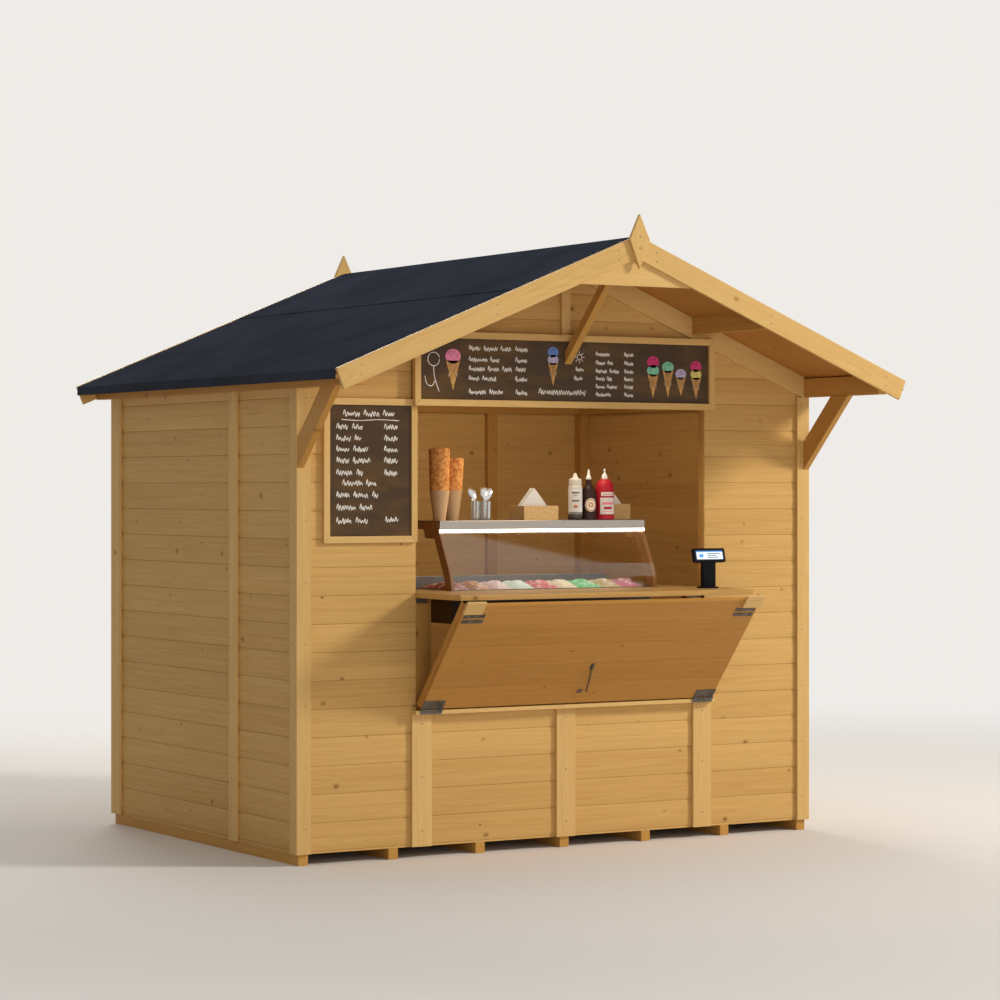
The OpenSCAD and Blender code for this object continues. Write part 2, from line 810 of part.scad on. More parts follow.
// A squeeze bottle with a rounded shoulder, a neck and a nozzle
module bottle(r, body_h, shoulder_h, neck_r, neck_h, tip_h) {
  z1 = body_h + shoulder_h;
  rotate_extrude($fn = 48) polygon(concat(
    [[0, 0], [r - 3, 0], [r, 3]],
    [for (a = [0 : 15 : 90]) [neck_r + (r - neck_r) * cos(a), body_h + shoulder_h * sin(a)]],
    [[neck_r, z1 + neck_h], [0.6 * neck_r, z1 + neck_h + 3], [0.3 * neck_r, z1 + neck_h + tip_h],
     [0, z1 + neck_h + tip_h]]
  ));
}

module sauce_bottles() color([0.7, 0.15, 0.15]) {
  translate([208, bottle_y, case_top_z]) bottle(34, 150, 10, 28, 34, 26);
  translate([283, bottle_y, case_top_z]) bottle(36, 100, 62, 14, 34, 42);
  translate([373, bottle_y, case_top_z]) bottle(46, 138, 55, 13, 24, 23);
}

// Card reader with a tilted screen on a column that stands on the counter
module card_terminal() color([0.05, 0.05, 0.06]) {
  x = 690;
  y = front_y - 157;
  column_w = 66;
  head_w = 178;
  head_h = 66;
  tilt = 14;
  round_r = 6;
  column_h = 150;
  translate([x, y + 10, counter_z]) cylinder(r = 52, h = 7, $fn = 64);
  difference() {
    box(x - column_w / 2, x + column_w / 2, y - 8, y + 22, counter_z + 7, counter_z + column_h);
    translate([x, y - 12, counter_z + 122]) rotate([-tilt, 0, 0]) box(-100, 100, -40, 16, 0, 80);
  }
  translate([x, y - 12, counter_z + 122]) rotate([-tilt, 0, 0]) difference() {
    box(-head_w / 2, head_w / 2, 0, 16.5, 0, head_h);
    for (i = [-1, 1]) for (z = [0, head_h]) translate([i * head_w / 2, -1, z]) rotate([-90, 0, 0])
      difference() {
        translate([-round_r, -round_r, 0]) cube([2 * round_r, 2 * round_r, 20]);
        translate([-i * round_r, z == 0 ? -round_r : round_r, -1]) cylinder(r = round_r, h = 22, $fn = 32);
      }
  }
}

// Flap, drawn closed at its hinge pin and then leaned out

module on_flap() {
  translate([0, pin_y, pin_z]) rotate([flap_angle, 0, 0]) children();
}

module flap_panel() color(pine) on_flap() {
  box(-flap_half_w, flap_half_w, knuckle_r, knuckle_r + flap_face_t, flap_start, flap_len);
}

module flap_frame() color(pine_dark) on_flap() {
  y0 = knuckle_r + flap_face_t;
  ring(-flap_half_w, flap_half_w, y0, y0 + flap_frame_t, flap_start, flap_len, flap_frame_w);
}

module flap_hinges() color(steel) both_sides() on_flap() {
  for (i = [0, 2]) {
    x0 = hinge_x0 + i * knuckle_l + (i == 0 ? 0 : knuckle_gap);
    x1 = hinge_x0 + (i + 1) * knuckle_l - (i == 0 ? knuckle_gap : 0);
    knuckle(x0, x1);
    difference() {
      box(x0, x1, 0, knuckle_r, 0, 9);
      translate([x0 - 1, 0, 0]) rotate([0, 90, 0]) cylinder(r = knuckle_r, h = x1 - x0 + 2, $fn = 32);
    }
  }
  box(hinge_x0, hinge_x0 + hinge_l, knuckle_r - leaf_t, knuckle_r, 9, 9 + leaf_h);
}

module flap_catches() color(pine) both_sides() on_flap() {
  x1 = flap_half_w - 2;
  box(x1 - 96, x1, knuckle_r - 12, knuckle_r, flap_len - 42, flap_len + 26);
}

// A cabin hook that hangs from its eye, with the staple it drops into, and
// the plates that hold the two catch blocks
module flap_fittings() color(steel) on_flap() {
  eye = [22, 232];
  bar_end = [52, 78];
  staple = [16, 80];
  bar_r = 3;
  lift = 6;
  lean = atan2(bar_end[0] - eye[0], eye[1] - bar_end[1]);
  bar_l = norm(bar_end - eye);
  box(eye[0] - 9, eye[0] + 9, knuckle_r - 2, knuckle_r, eye[1] - 18, eye[1] + 18);
  translate([eye[0], knuckle_r - 1, eye[1]]) rotate([90, 0, 0]) cylinder(r = 7, h = 10, $fn = 24);
  translate([eye[0], knuckle_r - lift, eye[1]]) rotate([0, 180 - lean, 0]) cylinder(r = bar_r, h = bar_l, $fn = 16);
  box(staple[0] - 12, staple[0] + 12, knuckle_r - 4, knuckle_r, staple[1] - 9, staple[1] + 9);
  both_sides() for (z = [plate_u, plate_u + 30])
    box(flap_half_w - 124, flap_half_w - 16, knuckle_r - 3, knuckle_r, z, z + 18);
}

floor_bearers();
floor_deck();
front_wall_sides();
front_wall_lower();
front_gable();
left_wall();
right_wall();
back_wall_sides();
back_gable();
back_door();
back_door_fittings();
wall_studs();
wall_plates();
corner_boards();
cover_strips();
gable_trim();
purlins();
roof_deck();
roof_felt();
eaves_battens();
bargeboards();
finials();
apex_gusset();
knee_braces();
centre_brace();
sill_board();
sill_hinges();
counter_shelf();
counter_posts();
shelf_brackets();
header_sign_frame();
header_sign_panel();
menu_board_frame();
menu_board_panel();
case_side_frames();
case_glass();
case_top();
case_light();
case_well();
ice_cream_pans();
waffle_cones();
spoon_glasses();
spoons();
napkin_boxes();
sauce_bottles();
card_terminal();
flap_panel();
flap_frame();
flap_hinges();
flap_catches();
flap_fittings();
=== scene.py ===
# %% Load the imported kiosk
import json
import math
import random

import bmesh
import bpy
import numpy as np
from mathutils import Matrix, Vector


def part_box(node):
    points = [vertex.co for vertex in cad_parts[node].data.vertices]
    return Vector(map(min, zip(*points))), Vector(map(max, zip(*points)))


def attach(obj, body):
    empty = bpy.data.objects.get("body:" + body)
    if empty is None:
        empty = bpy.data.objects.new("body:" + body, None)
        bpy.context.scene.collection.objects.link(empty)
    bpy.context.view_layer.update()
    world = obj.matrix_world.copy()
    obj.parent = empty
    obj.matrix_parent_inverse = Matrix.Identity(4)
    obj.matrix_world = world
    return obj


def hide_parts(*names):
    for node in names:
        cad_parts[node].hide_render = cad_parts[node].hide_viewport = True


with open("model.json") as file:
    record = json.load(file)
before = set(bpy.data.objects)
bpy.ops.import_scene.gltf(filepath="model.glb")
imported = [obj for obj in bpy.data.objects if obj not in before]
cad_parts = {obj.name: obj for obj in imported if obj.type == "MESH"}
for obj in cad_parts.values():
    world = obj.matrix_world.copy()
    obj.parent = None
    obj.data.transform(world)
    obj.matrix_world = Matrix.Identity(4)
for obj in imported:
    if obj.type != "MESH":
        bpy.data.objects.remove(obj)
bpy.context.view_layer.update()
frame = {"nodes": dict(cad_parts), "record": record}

# %% [markdown]
# # A timber street kiosk
# The imported model is a small sales hut: a wooden box with a gable roof, a wide
# hatch in the front and a chilled ice cream case on the counter. It is the fixed
# frame of this lesson.

# %% [markdown]
# ## The camera
# The photograph was taken with a long lens from the left of the front, with the
# horizon a little above the middle. A level camera keeps the corner boards
# upright, and a tiny shift puts the horizon in its place.

# %% Camera
EYE, YAW = (-7.3954, -12.4832, 1.66), -31.04
LENS, SENSOR, HORIZON_SHIFT = 108.3, 36.0, -0.0136

scene = bpy.context.scene
view = bpy.data.cameras.new("camera")
view.sensor_width = SENSOR
view.lens = LENS
view.shift_y = HORIZON_SHIFT
view.clip_end = 200.0
camera = bpy.data.objects.new("camera", view)
camera.location = EYE
camera.rotation_euler = (math.radians(90), 0, math.radians(YAW))
scene.collection.objects.link(camera)
scene.camera = camera
print("camera at", EYE)

# %% [markdown]
# ## A small language for node trees
# A node tree is easier to read as arithmetic. `Value` wraps a socket, so that an
# expression such as `1 - mask * 0.5` adds its Math nodes by itself. `Graph`
# makes any other node from its type, its settings and what goes into it. A
# `Finish` is the graph of a material, around one Principled shader.

# %% Values
def adds(operation, reflected=False):
    """A method that adds one Math node. Reflected, its second value comes first."""
    def method(self, other=None):
        first, second = (other, self) if reflected else (self, other)
        return self.graph.node("ShaderNodeMath", {"operation": operation}, {0: first, 1: second})
    return method


class Value:
    """A socket that takes part in arithmetic."""

    def __init__(self, graph, socket):
        self.graph = graph
        self.socket = socket

    __add__, __radd__ = adds("ADD"), adds("ADD", reflected=True)
    __sub__, __rsub__ = adds("SUBTRACT"), adds("SUBTRACT", reflected=True)
    __mul__, __rmul__ = adds("MULTIPLY"), adds("MULTIPLY", reflected=True)
    __truediv__, __rtruediv__ = adds("DIVIDE"), adds("DIVIDE", reflected=True)
    __pow__ = adds("POWER")
    __abs__ = adds("ABSOLUTE")
    least = adds("MINIMUM")
    most = adds("MAXIMUM")
    wave = adds("SINE")
    part = adds("FRACT")


# %% Colours
def linear(hexcode):
    """The linear light of a colour that is written as six hex digits."""
    values = [int(hexcode[i:i + 2], 16) / 255 for i in (0, 2, 4)]
    return tuple(v / 12.92 if v <= 0.04045 else ((v + 0.055) / 1.055) ** 2.4 for v in values)


def rgba(colour):
    """The value of a colour socket, from six hex digits or three linear parts."""
    return (*(linear(colour) if isinstance(colour, str) else colour), 1)


# %% Graphs
class Graph:
    def __init__(self, tree):
        self.tree = tree

    def node(self, kind, settings=None, inputs=None, out=0):
        made = self.tree.nodes.new(kind)
        for key, value in (settings or {}).items():
            setattr(made, key, value)
        for key, value in (inputs or {}).items():
            if isinstance(value, Value):
                self.tree.links.new(value.socket, made.inputs[key])
            elif value is not None:
                made.inputs[key].default_value = value
        self.last = made
        return Value(self, made.outputs[out])

    def vector(self, x, y, z):
        return self.node("ShaderNodeCombineXYZ", None, {0: x, 1: y, 2: z})

    def split(self, vector):
        self.node("ShaderNodeSeparateXYZ", None, {0: vector})
        return [Value(self, socket) for socket in self.last.outputs]

    def attribute(self, name, out="Vector"):
        return self.node("ShaderNodeAttribute", {"attribute_name": name}, out=out)

    def scaled(self, vector, factors):
        return self.node("ShaderNodeVectorMath", {"operation": "MULTIPLY"}, {0: vector, 1: factors})

    def noise(self, vector, scale, detail=3.0, rough=0.55):
        """Noise from 0 to 1. A scale of three numbers stretches it."""
        if isinstance(scale, tuple):
            vector, scale = self.scaled(vector, scale), 1.0
        return self.node("ShaderNodeTexNoise", None, {
            "Vector": vector, "Scale": scale, "Detail": detail, "Roughness": rough})

    def mix(self, a, b, factor):
        a, b = (c if isinstance(c, Value) else rgba(c) for c in (a, b))
        return self.node("ShaderNodeMix", {"data_type": "RGBA"}, {0: factor, 6: a, 7: b}, out=2)

    def step(self, value, low, high, soft="SMOOTHSTEP"):
        """0 up to low and 1 from high on, with a soft or a straight way between."""
        return self.node("ShaderNodeMapRange", {"interpolation_type": soft}, {0: value, 1: low, 2: high})

    def bump(self, height, distance, strength):
        return self.node("ShaderNodeBump", None, {
            "Strength": strength, "Distance": distance, "Height": height})


# %% Finishes
class Finish(Graph):
    def __init__(self, name, **sockets):
        self.data = bpy.data.materials.new(name)
        self.data.use_nodes = True
        super().__init__(self.data.node_tree)
        self.shader = self.tree.nodes["Principled BSDF"]
        self.own = Value(self, self.shader.outputs[0])
        self.place = self.node("ShaderNodeTexCoord", out="Object")
        self.set(**sockets)

    def set(self, **sockets):
        """Gives the shader's sockets, named with _ for a space, a value or a link."""
        for name, value in sockets.items():
            socket = self.shader.inputs[name.replace("_", " ")]
            if isinstance(value, Value):
                self.tree.links.new(value.socket, socket)
            else:
                socket.default_value = rgba(value) if socket.type == "RGBA" else value

    def blend(self, factor, first, second):
        """Shows a mix of two shaders in place of one."""
        both = self.node("ShaderNodeMixShader", None, {0: factor, 1: first, 2: second})
        self.tree.links.new(both.socket, self.tree.nodes["Material Output"].inputs["Surface"])


print("node helpers ready")

# %% [markdown]
# ## Floor and light
# Five large soft lamps and a dim world light the hut at a plain level. The key
# comes from the front right, as in the photograph, where the side wall is the
# darker one. Two small warm lamps stand in for the light inside the hut and under
# the lid of the case. The floor keeps the hut's shadow, and far from the hut it
# melts into a background of one pale colour, which also shows in glass and
# polished metal.

# %% Lamps
scene.view_settings.view_transform = "Standard"


def lamp(name, place, target, size, watts, colour=(1, 1, 1), depth=None):
    """A soft lamp that looks at its target: a disk, or a strip of some depth."""
    data = bpy.data.lights.new(name, "AREA")
    data.shape = "RECTANGLE" if depth else "DISK"
    data.size = size
    data.size_y = depth or size
    data.energy = watts
    data.color = colour
    made = bpy.data.objects.new(name, data)
    made.location = place
    aim = Vector(target) - Vector(place)
    made.rotation_euler = aim.to_track_quat("-Z", "Y").to_euler()
    scene.collection.objects.link(made)
    return made


key = lamp("key", (8.0, -6.7, 6.2), (0, 0, 1.3), 2.2, 905, (1.0, 0.975, 0.945))
key.visible_glossy = False
lamp("front_fill", (-3.0, -10.5, 2.0), (0, 0, 1.4), 4.0, 168, (1.0, 0.98, 0.96))
lamp("side_fill", (-9.0, -1.0, 4.5), (0, 0, 1.2), 5.0, 8, (0.97, 0.98, 1.0))
lamp("back", (2.0, 9.0, 6.0), (0, 0, 1.5), 5.0, 380)
lamp("top", (0.0, 0.5, 9.0), (0, 0, 1.5), 6.0, 120)
lamp("indoors", (0.1, -0.55, 2.22), (0.1, 0.9, 1.3), 0.7, 9, (1.0, 0.86, 0.66))
lamp("case_strip", (0.0, -0.49, 1.452), (0.0, -0.46, 1.0), 1.0, 0.9, (1.0, 0.98, 0.95), 0.04)
print("lamps set")

# %% Background
PALE, DIM = "efece8", 0.37


def seen_directly(g):
    """1 where the camera, a mirror or a pane looks, and 0 for light that is only cast."""
    rays = [g.node("ShaderNodeLightPath", out=ray)
            for ray in ("Is Camera Ray", "Is Glossy Ray", "Is Transmission Ray")]
    return rays[0].most(rays[1]).most(rays[2])


scene.world = bpy.data.worlds.new("studio")
scene.world.use_nodes = True
sky = Graph(scene.world.node_tree)
background = sky.tree.nodes["Background"]
background.inputs["Color"].default_value = rgba(PALE)
strength = DIM + seen_directly(sky) * (1.0 - DIM)
sky.tree.links.new(strength.socket, background.inputs["Strength"])
print("background", PALE, "at", DIM, "of its light")

# %% Floor
FLOOR_SIZE, MELT_FROM, MELT_TO = 120, 3.6, 9.0
bpy.ops.mesh.primitive_plane_add(size=FLOOR_SIZE, location=(0, 0, 0))
floor = bpy.context.object
floor.name = "studio_floor"
sweep = Finish("pale_floor", Base_Color="e2ddd6", Roughness=0.9, Specular_IOR_Level=0.2)
away = sweep.node("ShaderNodeVectorMath", {"operation": "LENGTH"}, {0: sweep.place}, out=1)
glow = sweep.node("ShaderNodeEmission", None, {"Color": rgba(PALE), "Strength": 1.0})
sweep.blend(sweep.step(away, MELT_FROM, MELT_TO) * seen_directly(sweep), sweep.own, glow)
floor.data.materials.append(sweep.data)
print("studio ready")

# %% [markdown]
# ## Pine
# The whole hut is planed, clear-stained pine. Each board carries its own frame:
# the attribute `grain` gives a point's place along the board, across it and
# through it, measured from near the heart of its log. Rings are then circles
# around the log's axis, which a sawn face cuts into the long arches of real
# timber and an end face shows as arcs. Knots are rare round spots, from faint to
# brown, and `tone` makes each board a little lighter or darker.

# %% Pine finish
RING, KNOT_CELLS = 0.0062, 5.2


def pine(name, light, dark, knots=1.0, gloss=0.5, deep=False):
    m = Finish(name, Specular_IOR_Level=0.12)
    grain = m.attribute("grain")
    tone = m.attribute("tone", "Fac")
    _, across, through = m.split(grain)
    cell = m.node("ShaderNodeTexVoronoi", {"voronoi_dimensions": "3D" if deep else "2D"},
                  {"Vector": m.scaled(grain, (0.75, 1, 0.6)), "Scale": KNOT_CELLS})
    pick, size, age = m.split(Value(m, m.last.outputs["Color"]))
    distance = cell / KNOT_CELLS / (0.45 + size * 0.75)
    rare = m.step(pick, 0.66, 0.68)

    y = across + (m.noise(grain, (0.9, 5.0, 5.0), 2.0) - 0.5) * 0.05
    z = through + (m.noise(grain, (0.85, 5.1, 5.1), 2.0) - 0.5) * 0.06
    swirl = m.step(distance, 0.035, 0.0) * rare * 0.007
    rings = ((y * y + z * z) ** 0.5 + swirl) / RING
    ring = m.step(abs(rings.part() - 0.5), 0.10, 0.5)
    streak = m.noise(grain, (1.4, 55, 55), 4.0, 0.6)
    fine = m.noise(grain, (9, 420, 420), 2.0, 0.6)
    patch = m.noise(grain, (0.8, 3.5, 3.5), 2.0)
    shade = ring * 0.17 + (streak - 0.5) * 0.75 + (fine - 0.5) * 0.35
    shade = shade + (patch - 0.5) * 0.45 + (tone - 0.5) * 0.34

    wood = m.mix(light, dark, m.step(shade, -0.5, 1.15, "LINEAR"))
    halo = m.step(distance, 0.018, 0.005) * rare * knots
    heart = m.step(distance, 0.0080, 0.0042) * rare * knots
    wood = m.mix(wood, [0.62 * c for c in linear(dark)], halo * 0.42)
    wood = m.mix(wood, "74401c", heart * (0.28 + age * 0.5))
    m.set(Base_Color=wood, Roughness=gloss + (streak - 0.5) * 0.25,
          Normal=m.bump(ring * -0.4 + fine * 0.6 + heart * 0.5, 0.0005, 0.3))
    return m.data


finishes = {
    "cladding": pine("pine_cladding", "dab16e", "a97a3c"),
    "framing": pine("pine_framing", "cb9a52", "9a6a2f"),
    "trim": pine("pine_trim", "e0bb7b", "b5894a", deep=True),
    # The roof boards are painted darker and redder than plain pine: painted shade under the roof.
    "roof_boards": pine("pine_roof_boards", "bd8542", "8b5b2a"),
    "flooring": pine("pine_floor", "b8905f", "88623d"),
    "counter": pine("pine_counter", "d3a967", "a2773c", gloss=0.38),
    "flap_wood": pine("pine_flap", "c48f4a", "93632b", gloss=0.42, knots=0.8),
    "case_wood": pine("brown_case_wood", "a97843", "6f4825", knots=0.0, gloss=0.4),
}
print("pine finishes", sorted(finishes))

# %% [markdown]
# ## From CAD board to finished board
# A CAD board has knife-sharp edges and one mesh for all boards of a node. A
# copy is merged, split into its loose boards, and given a tiny bevel that
# catches the light. For each board the longest direction is the grain.

# %% Attributes
chance = random.Random(7)


def store(mesh, name, values):
    """Keeps one number, or three, for each point of a mesh."""
    values = np.asarray(values, np.float32)
    kind, field = ("FLOAT_VECTOR", "vector") if values.ndim == 2 else ("FLOAT", "value")
    mesh.attributes.new(name, kind, "POINT").data.foreach_set(field, values.ravel())


def longest_first(points):
    """The three own directions of a cloud of points, as rows."""
    spread = points - points.mean(0)
    _, axes = np.linalg.eigh(spread.T @ spread)
    return axes[:, ::-1].T


def islands(bm):
    """Each loose board, as a list of its vertices, in the same order in each run."""
    left = set(bm.verts)
    for seed in bm.verts:
        if seed not in left:
            continue
        left.remove(seed)
        island, queue = [seed], [seed]
        while queue:
            for edge in queue.pop().link_edges:
                for v in left.intersection(edge.verts):
                    left.remove(v)
                    island.append(v)
                    queue.append(v)
        yield island


def first_corner(island):
    return tuple(round(c, 3) for c in min(v.co[:] for v in island))


# %% Boards with their grain
SHARP = 0.35


def board_mesh(source, bevel, axes=None):
    """A bevelled copy of a mesh, in which each loose board has its own timber."""
    bm = bmesh.new()
    bm.from_mesh(source)
    bmesh.ops.remove_doubles(bm, verts=bm.verts, dist=1e-5)
    bmesh.ops.dissolve_limit(bm, angle_limit=0.01, verts=bm.verts, edges=bm.edges)
    if bevel:
        edges = [e for e in bm.edges if e.is_manifold and e.calc_face_angle(0) > SHARP]
        bmesh.ops.bevel(bm, geom=edges, offset=bevel, segments=2, profile=0.6, affect="EDGES",
                        clamp_overlap=True)
    bm.verts.index_update()
    grain, tone = np.zeros((len(bm.verts), 3)), np.zeros(len(bm.verts))
    for island in sorted(islands(bm), key=first_corner):
        index = [v.index for v in island]
        points = np.array([v.co[:] for v in island])
        own_axes = longest_first(points) if axes is None else np.array(axes)
        heart = [chance.uniform(0, 60), chance.uniform(-0.03, 0.03), chance.uniform(0.02, 0.09)]
        grain[index] = (points - points.mean(0)) @ own_axes.T + heart
        tone[index] = chance.random()
    mesh = bpy.data.meshes.new("board")
    bm.to_mesh(mesh)
    bm.free()
    store(mesh, "grain", grain)
    store(mesh, "tone", tone)
    return mesh


# %% Pieces on their bodies
def even_normals(made):
    """Gives large faces the say in the shading, so that they stay flat beside a bevel."""
    made.modifiers.new("weigh", "WEIGHTED_NORMAL").keep_sharp = True
    bpy.context.view_layer.update()
    name, rough = made.data.name, made.data
    made.data = bpy.data.meshes.new_from_object(made.evaluated_get(bpy.context.evaluated_depsgraph_get()))
    made.modifiers.clear()
    bpy.data.meshes.remove(rough)
    made.data.name = name


def settle(name, mesh, slot, body="hut", replaces=(), finish=None, crease=30):
    """Hangs a finished mesh on its body, in place of its CAD nodes."""
    mesh.name = name
    made = bpy.data.objects.new(name, mesh)
    scene.collection.objects.link(made)
    if finish or not mesh.materials:
        mesh.materials.clear()
        mesh.materials.append(finish or finishes[slot])
    mesh.shade_smooth()
    mesh.set_sharp_from_angle(angle=math.radians(crease))
    even_normals(made)
    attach(made, body)
    if replaces:
        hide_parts(*replaces)


def dress(node, slot, body="hut", bevel=0.0016, axes=None, finish=None):
    """Shows a CAD node's own shape, bevelled and finished."""
    mesh = board_mesh(frame["nodes"][node].data, bevel, axes)
    settle("finished_" + node, mesh, slot, body, [node], finish)


# %% Framing and trim
UPRIGHT = [(0, 0, 1), (1, 0, 0), (0, 1, 0)]
LEVEL = [(1, 0, 0), (0, 0, 1), (0, 1, 0)]
framing = ["floor_bearers", "wall_studs", "wall_plates", "purlins", "eaves_battens", "counter_posts"]
trim = ["corner_boards", "cover_strips", "gable_trim", "bargeboards", "finials", "apex_gusset",
        "sill_board"]
for node in framing:
    dress(node, "framing")
for node in trim:
    dress(node, "trim", axes=UPRIGHT if node in ("corner_boards", "finials") else None)
dress("counter_shelf", "counter", axes=LEVEL)
dress("flap_catches", "trim", "flap")
print("dressed", len(framing) + len(trim) + 2, "nodes")

# %% [markdown]
# ## Cladding
# The walls are stacks of rounded boards, 124.5 mm from joint to joint, with a
# faint groove half way up each. A wall could be one bumped sheet, but its edges
# would be straight: real boards end in a scalloped line beside the corner
# boards. So one board is modelled, and a Geometry Nodes tree stacks it, gives
# each board its own length and its own piece of timber, and trims the stack to
# the roof slope. The same tree lays the flat tongue-and-groove boards of the
# roof, the floor, the staff door and the flap.

# %% Skins
def outward(mesh):
    """Joins doubled points and turns every face outwards."""
    bm = bmesh.new()
    bm.from_mesh(mesh)
    bmesh.ops.remove_doubles(bm, verts=bm.verts, dist=1e-6)
    bmesh.ops.recalc_face_normals(bm, faces=bm.faces)
    bm.to_mesh(mesh)
    bm.free()
    return mesh


def skin(verts, faces):
    mesh = bpy.data.meshes.new("skin")
    mesh.from_pydata(verts, [], faces)
    return outward(mesh)


def loops(rings, closed=False):
    """A skin through loops of points. It ends in two caps, or in itself."""
    n, count = len(rings[0]), len(rings)
    verts = [tuple(p) for ring in rings for p in ring]
    faces = [(k * n + i, k * n + (i + 1) % n, (k + 1) % count * n + (i + 1) % n, (k + 1) % count * n + i)
             for k in range(count if closed else count - 1) for i in range(n)]
    if not closed:
        faces += [tuple(range(n)), tuple(range(n * (count - 1), n * count))]
    return skin(verts, faces)


# %% Board profiles
PITCH, BOARD_T, FLAT_T = 0.1245, 0.020, 0.018
ROUNDING, JOINT, GROOVE, CHAMFER = 0.0036, 0.0022, 0.0009, 0.0018
HALF_FACE = [0.03, 0.2, 0.45, 0.7, 0.87, 0.95, 0.985, 1]


def profile_board(name, pitch, thick, face):
    """A board one unit long. face gives the depth of its face at -1 to 1."""
    steps = [-s for s in reversed(HALF_FACE)] + [0] + HALF_FACE
    profile = [(face(s), s * pitch / 2) for s in steps] + [(thick, pitch / 2), (thick, -pitch / 2)]
    return bpy.data.objects.new(name, loops([[(x, y, z) for y, z in profile] for x in (-0.5, 0.5)]))


def log_face(s):
    """Rounded, with a joint at its edges and a finer groove half way."""
    return ROUNDING * abs(s) ** 3.6 + JOINT * (abs(s) == 1) + GROOVE * (s == 0)


def flat_face(s):
    return CHAMFER * max(0.0, (abs(s) - 0.97) / 0.03)


rounded_board = profile_board("rounded_board", PITCH, BOARD_T, log_face)
print("one board:", len(rounded_board.data.polygons), "faces")


# %% Opening and closing a tree
def open_tree(name, sockets):
    """A Geometry Nodes tree: its graph, the keys of its named inputs, and their values."""
    tree = bpy.data.node_groups.new(name, "GeometryNodeTree")
    keys = {}
    for label, kind, value in sockets:
        socket = tree.interface.new_socket(label, in_out="INPUT", socket_type="NodeSocket" + kind)
        if value is not None:
            socket.default_value = value
        keys[label] = socket.identifier
    tree.interface.new_socket("Geometry", in_out="OUTPUT", socket_type="NodeSocketGeometry")
    g = Graph(tree)
    entry = tree.nodes.new("NodeGroupInput")
    return g, keys, {s.name: Value(g, s) for s in entry.outputs if s.name}


def close_tree(g, instances, finish, change=None):
    """Realizes the instances, changes them if asked to, and sets their material."""
    shape = g.node("GeometryNodeRealizeInstances", None, {0: instances})
    if change:
        shape = change(shape)
    shape = g.node("GeometryNodeSetMaterial", None, {"Geometry": shape, "Material": finish})
    g.tree.links.new(shape.socket, g.tree.nodes.new("NodeGroupOutput").inputs[0])
    return g.tree


def keep(g, shape, name, value, kind="FLOAT_VECTOR", domain="POINT"):
    return g.node("GeometryNodeStoreNamedAttribute", {"data_type": kind, "domain": domain},
                  {"Geometry": shape, "Name": name, "Value": value})


def recall(g, name, kind="FLOAT_VECTOR"):
    return g.node("GeometryNodeInputNamedAttribute", {"data_type": kind}, {"Name": name})


# %% The tree that stacks boards
FAR_PEAK = 99.0
ROOF_PITCH = math.radians(22.3)
SLOPE = math.tan(ROOF_PITCH)


def cladding_tree():
    g, keys, given = open_tree("stack_of_boards", [
        ("Board", "Object", None), ("Rows", "Int", 16), ("Pitch", "Float", PITCH),
        ("First", "Float", 0.05), ("Low", "Float", 0.05), ("High", "Float", 2.09),
        ("Left", "Float", -1.0), ("Right", "Float", 1.0), ("Peak", "Float", FAR_PEAK),
        ("Slope", "Float", 1.0), ("Seed", "Int", 1), ("Finish", "Material", None)])
    left, right, pitch = (given[k] for k in ("Left", "Right", "Pitch"))
    line = g.node("GeometryNodeMeshLine", {"mode": "OFFSET"}, {
        "Count": given["Rows"],
        "Start Location": g.vector((left + right) * 0.5, 0.0, given["First"] + pitch * 0.5),
        "Offset": g.vector(0.0, 0.0, pitch)})
    board = g.node("GeometryNodeObjectInfo", None, {"Object": given["Board"]}, out="Geometry")
    boards = g.node("GeometryNodeInstanceOnPoints", None, {
        "Points": line, "Instance": board, "Scale": g.vector(right - left, 1.0, 1.0)})
    boards = keep(g, boards, "middle", g.node("GeometryNodeInputPosition"), domain="INSTANCE")
    draw = g.node("FunctionNodeRandomValue", {"data_type": "FLOAT_VECTOR"},
                  {0: (0, 0, 0), 1: (1, 1, 1), "Seed": given["Seed"]})
    boards = keep(g, boards, "draw", draw, domain="INSTANCE")

    def trim_and_grain(shape):
        x, y, z = g.split(g.node("GeometryNodeInputPosition"))
        z = z.most(given["Low"]).least(given["High"])
        reach = (given["Peak"] - z) / given["Slope"]
        x = x.least(reach).most(reach * -1)
        shape = g.node("GeometryNodeSetPosition", None, {"Geometry": shape, "Position": g.vector(x, y, z)})
        x, y, z = g.split(g.node("GeometryNodeInputPosition"))
        middle_z = g.split(recall(g, "middle"))[2]
        dx, dy, dz = g.split(recall(g, "draw"))
        grain = g.vector(x + dx * 60.0, z - middle_z + dy * 0.06 - 0.03, y + dz * 0.07 + 0.03)
        shape = keep(g, shape, "grain", grain)
        return keep(g, shape, "tone", (dx * 7.31 + dz * 3.17).part(), "FLOAT")

    return close_tree(g, boards, given["Finish"], trim_and_grain), keys


stack_tree, stack_keys = cladding_tree()
print("inputs of the tree:", ", ".join(stack_keys))


# %% Plain meshes from a tree
def evaluate(host, tree, keys, **values):
    modifier = host.modifiers.new("tree", "NODES")
    modifier.node_group = tree
    for name, value in values.items():
        modifier[keys[name]] = value
    scene.collection.objects.link(host)
    graph = bpy.context.evaluated_depsgraph_get()
    mesh = bpy.data.meshes.new_from_object(host.evaluated_get(graph), preserve_all_data_layers=True,
                                           depsgraph=graph)
    host.modifiers.clear()
    bpy.data.objects.remove(host)
    return mesh


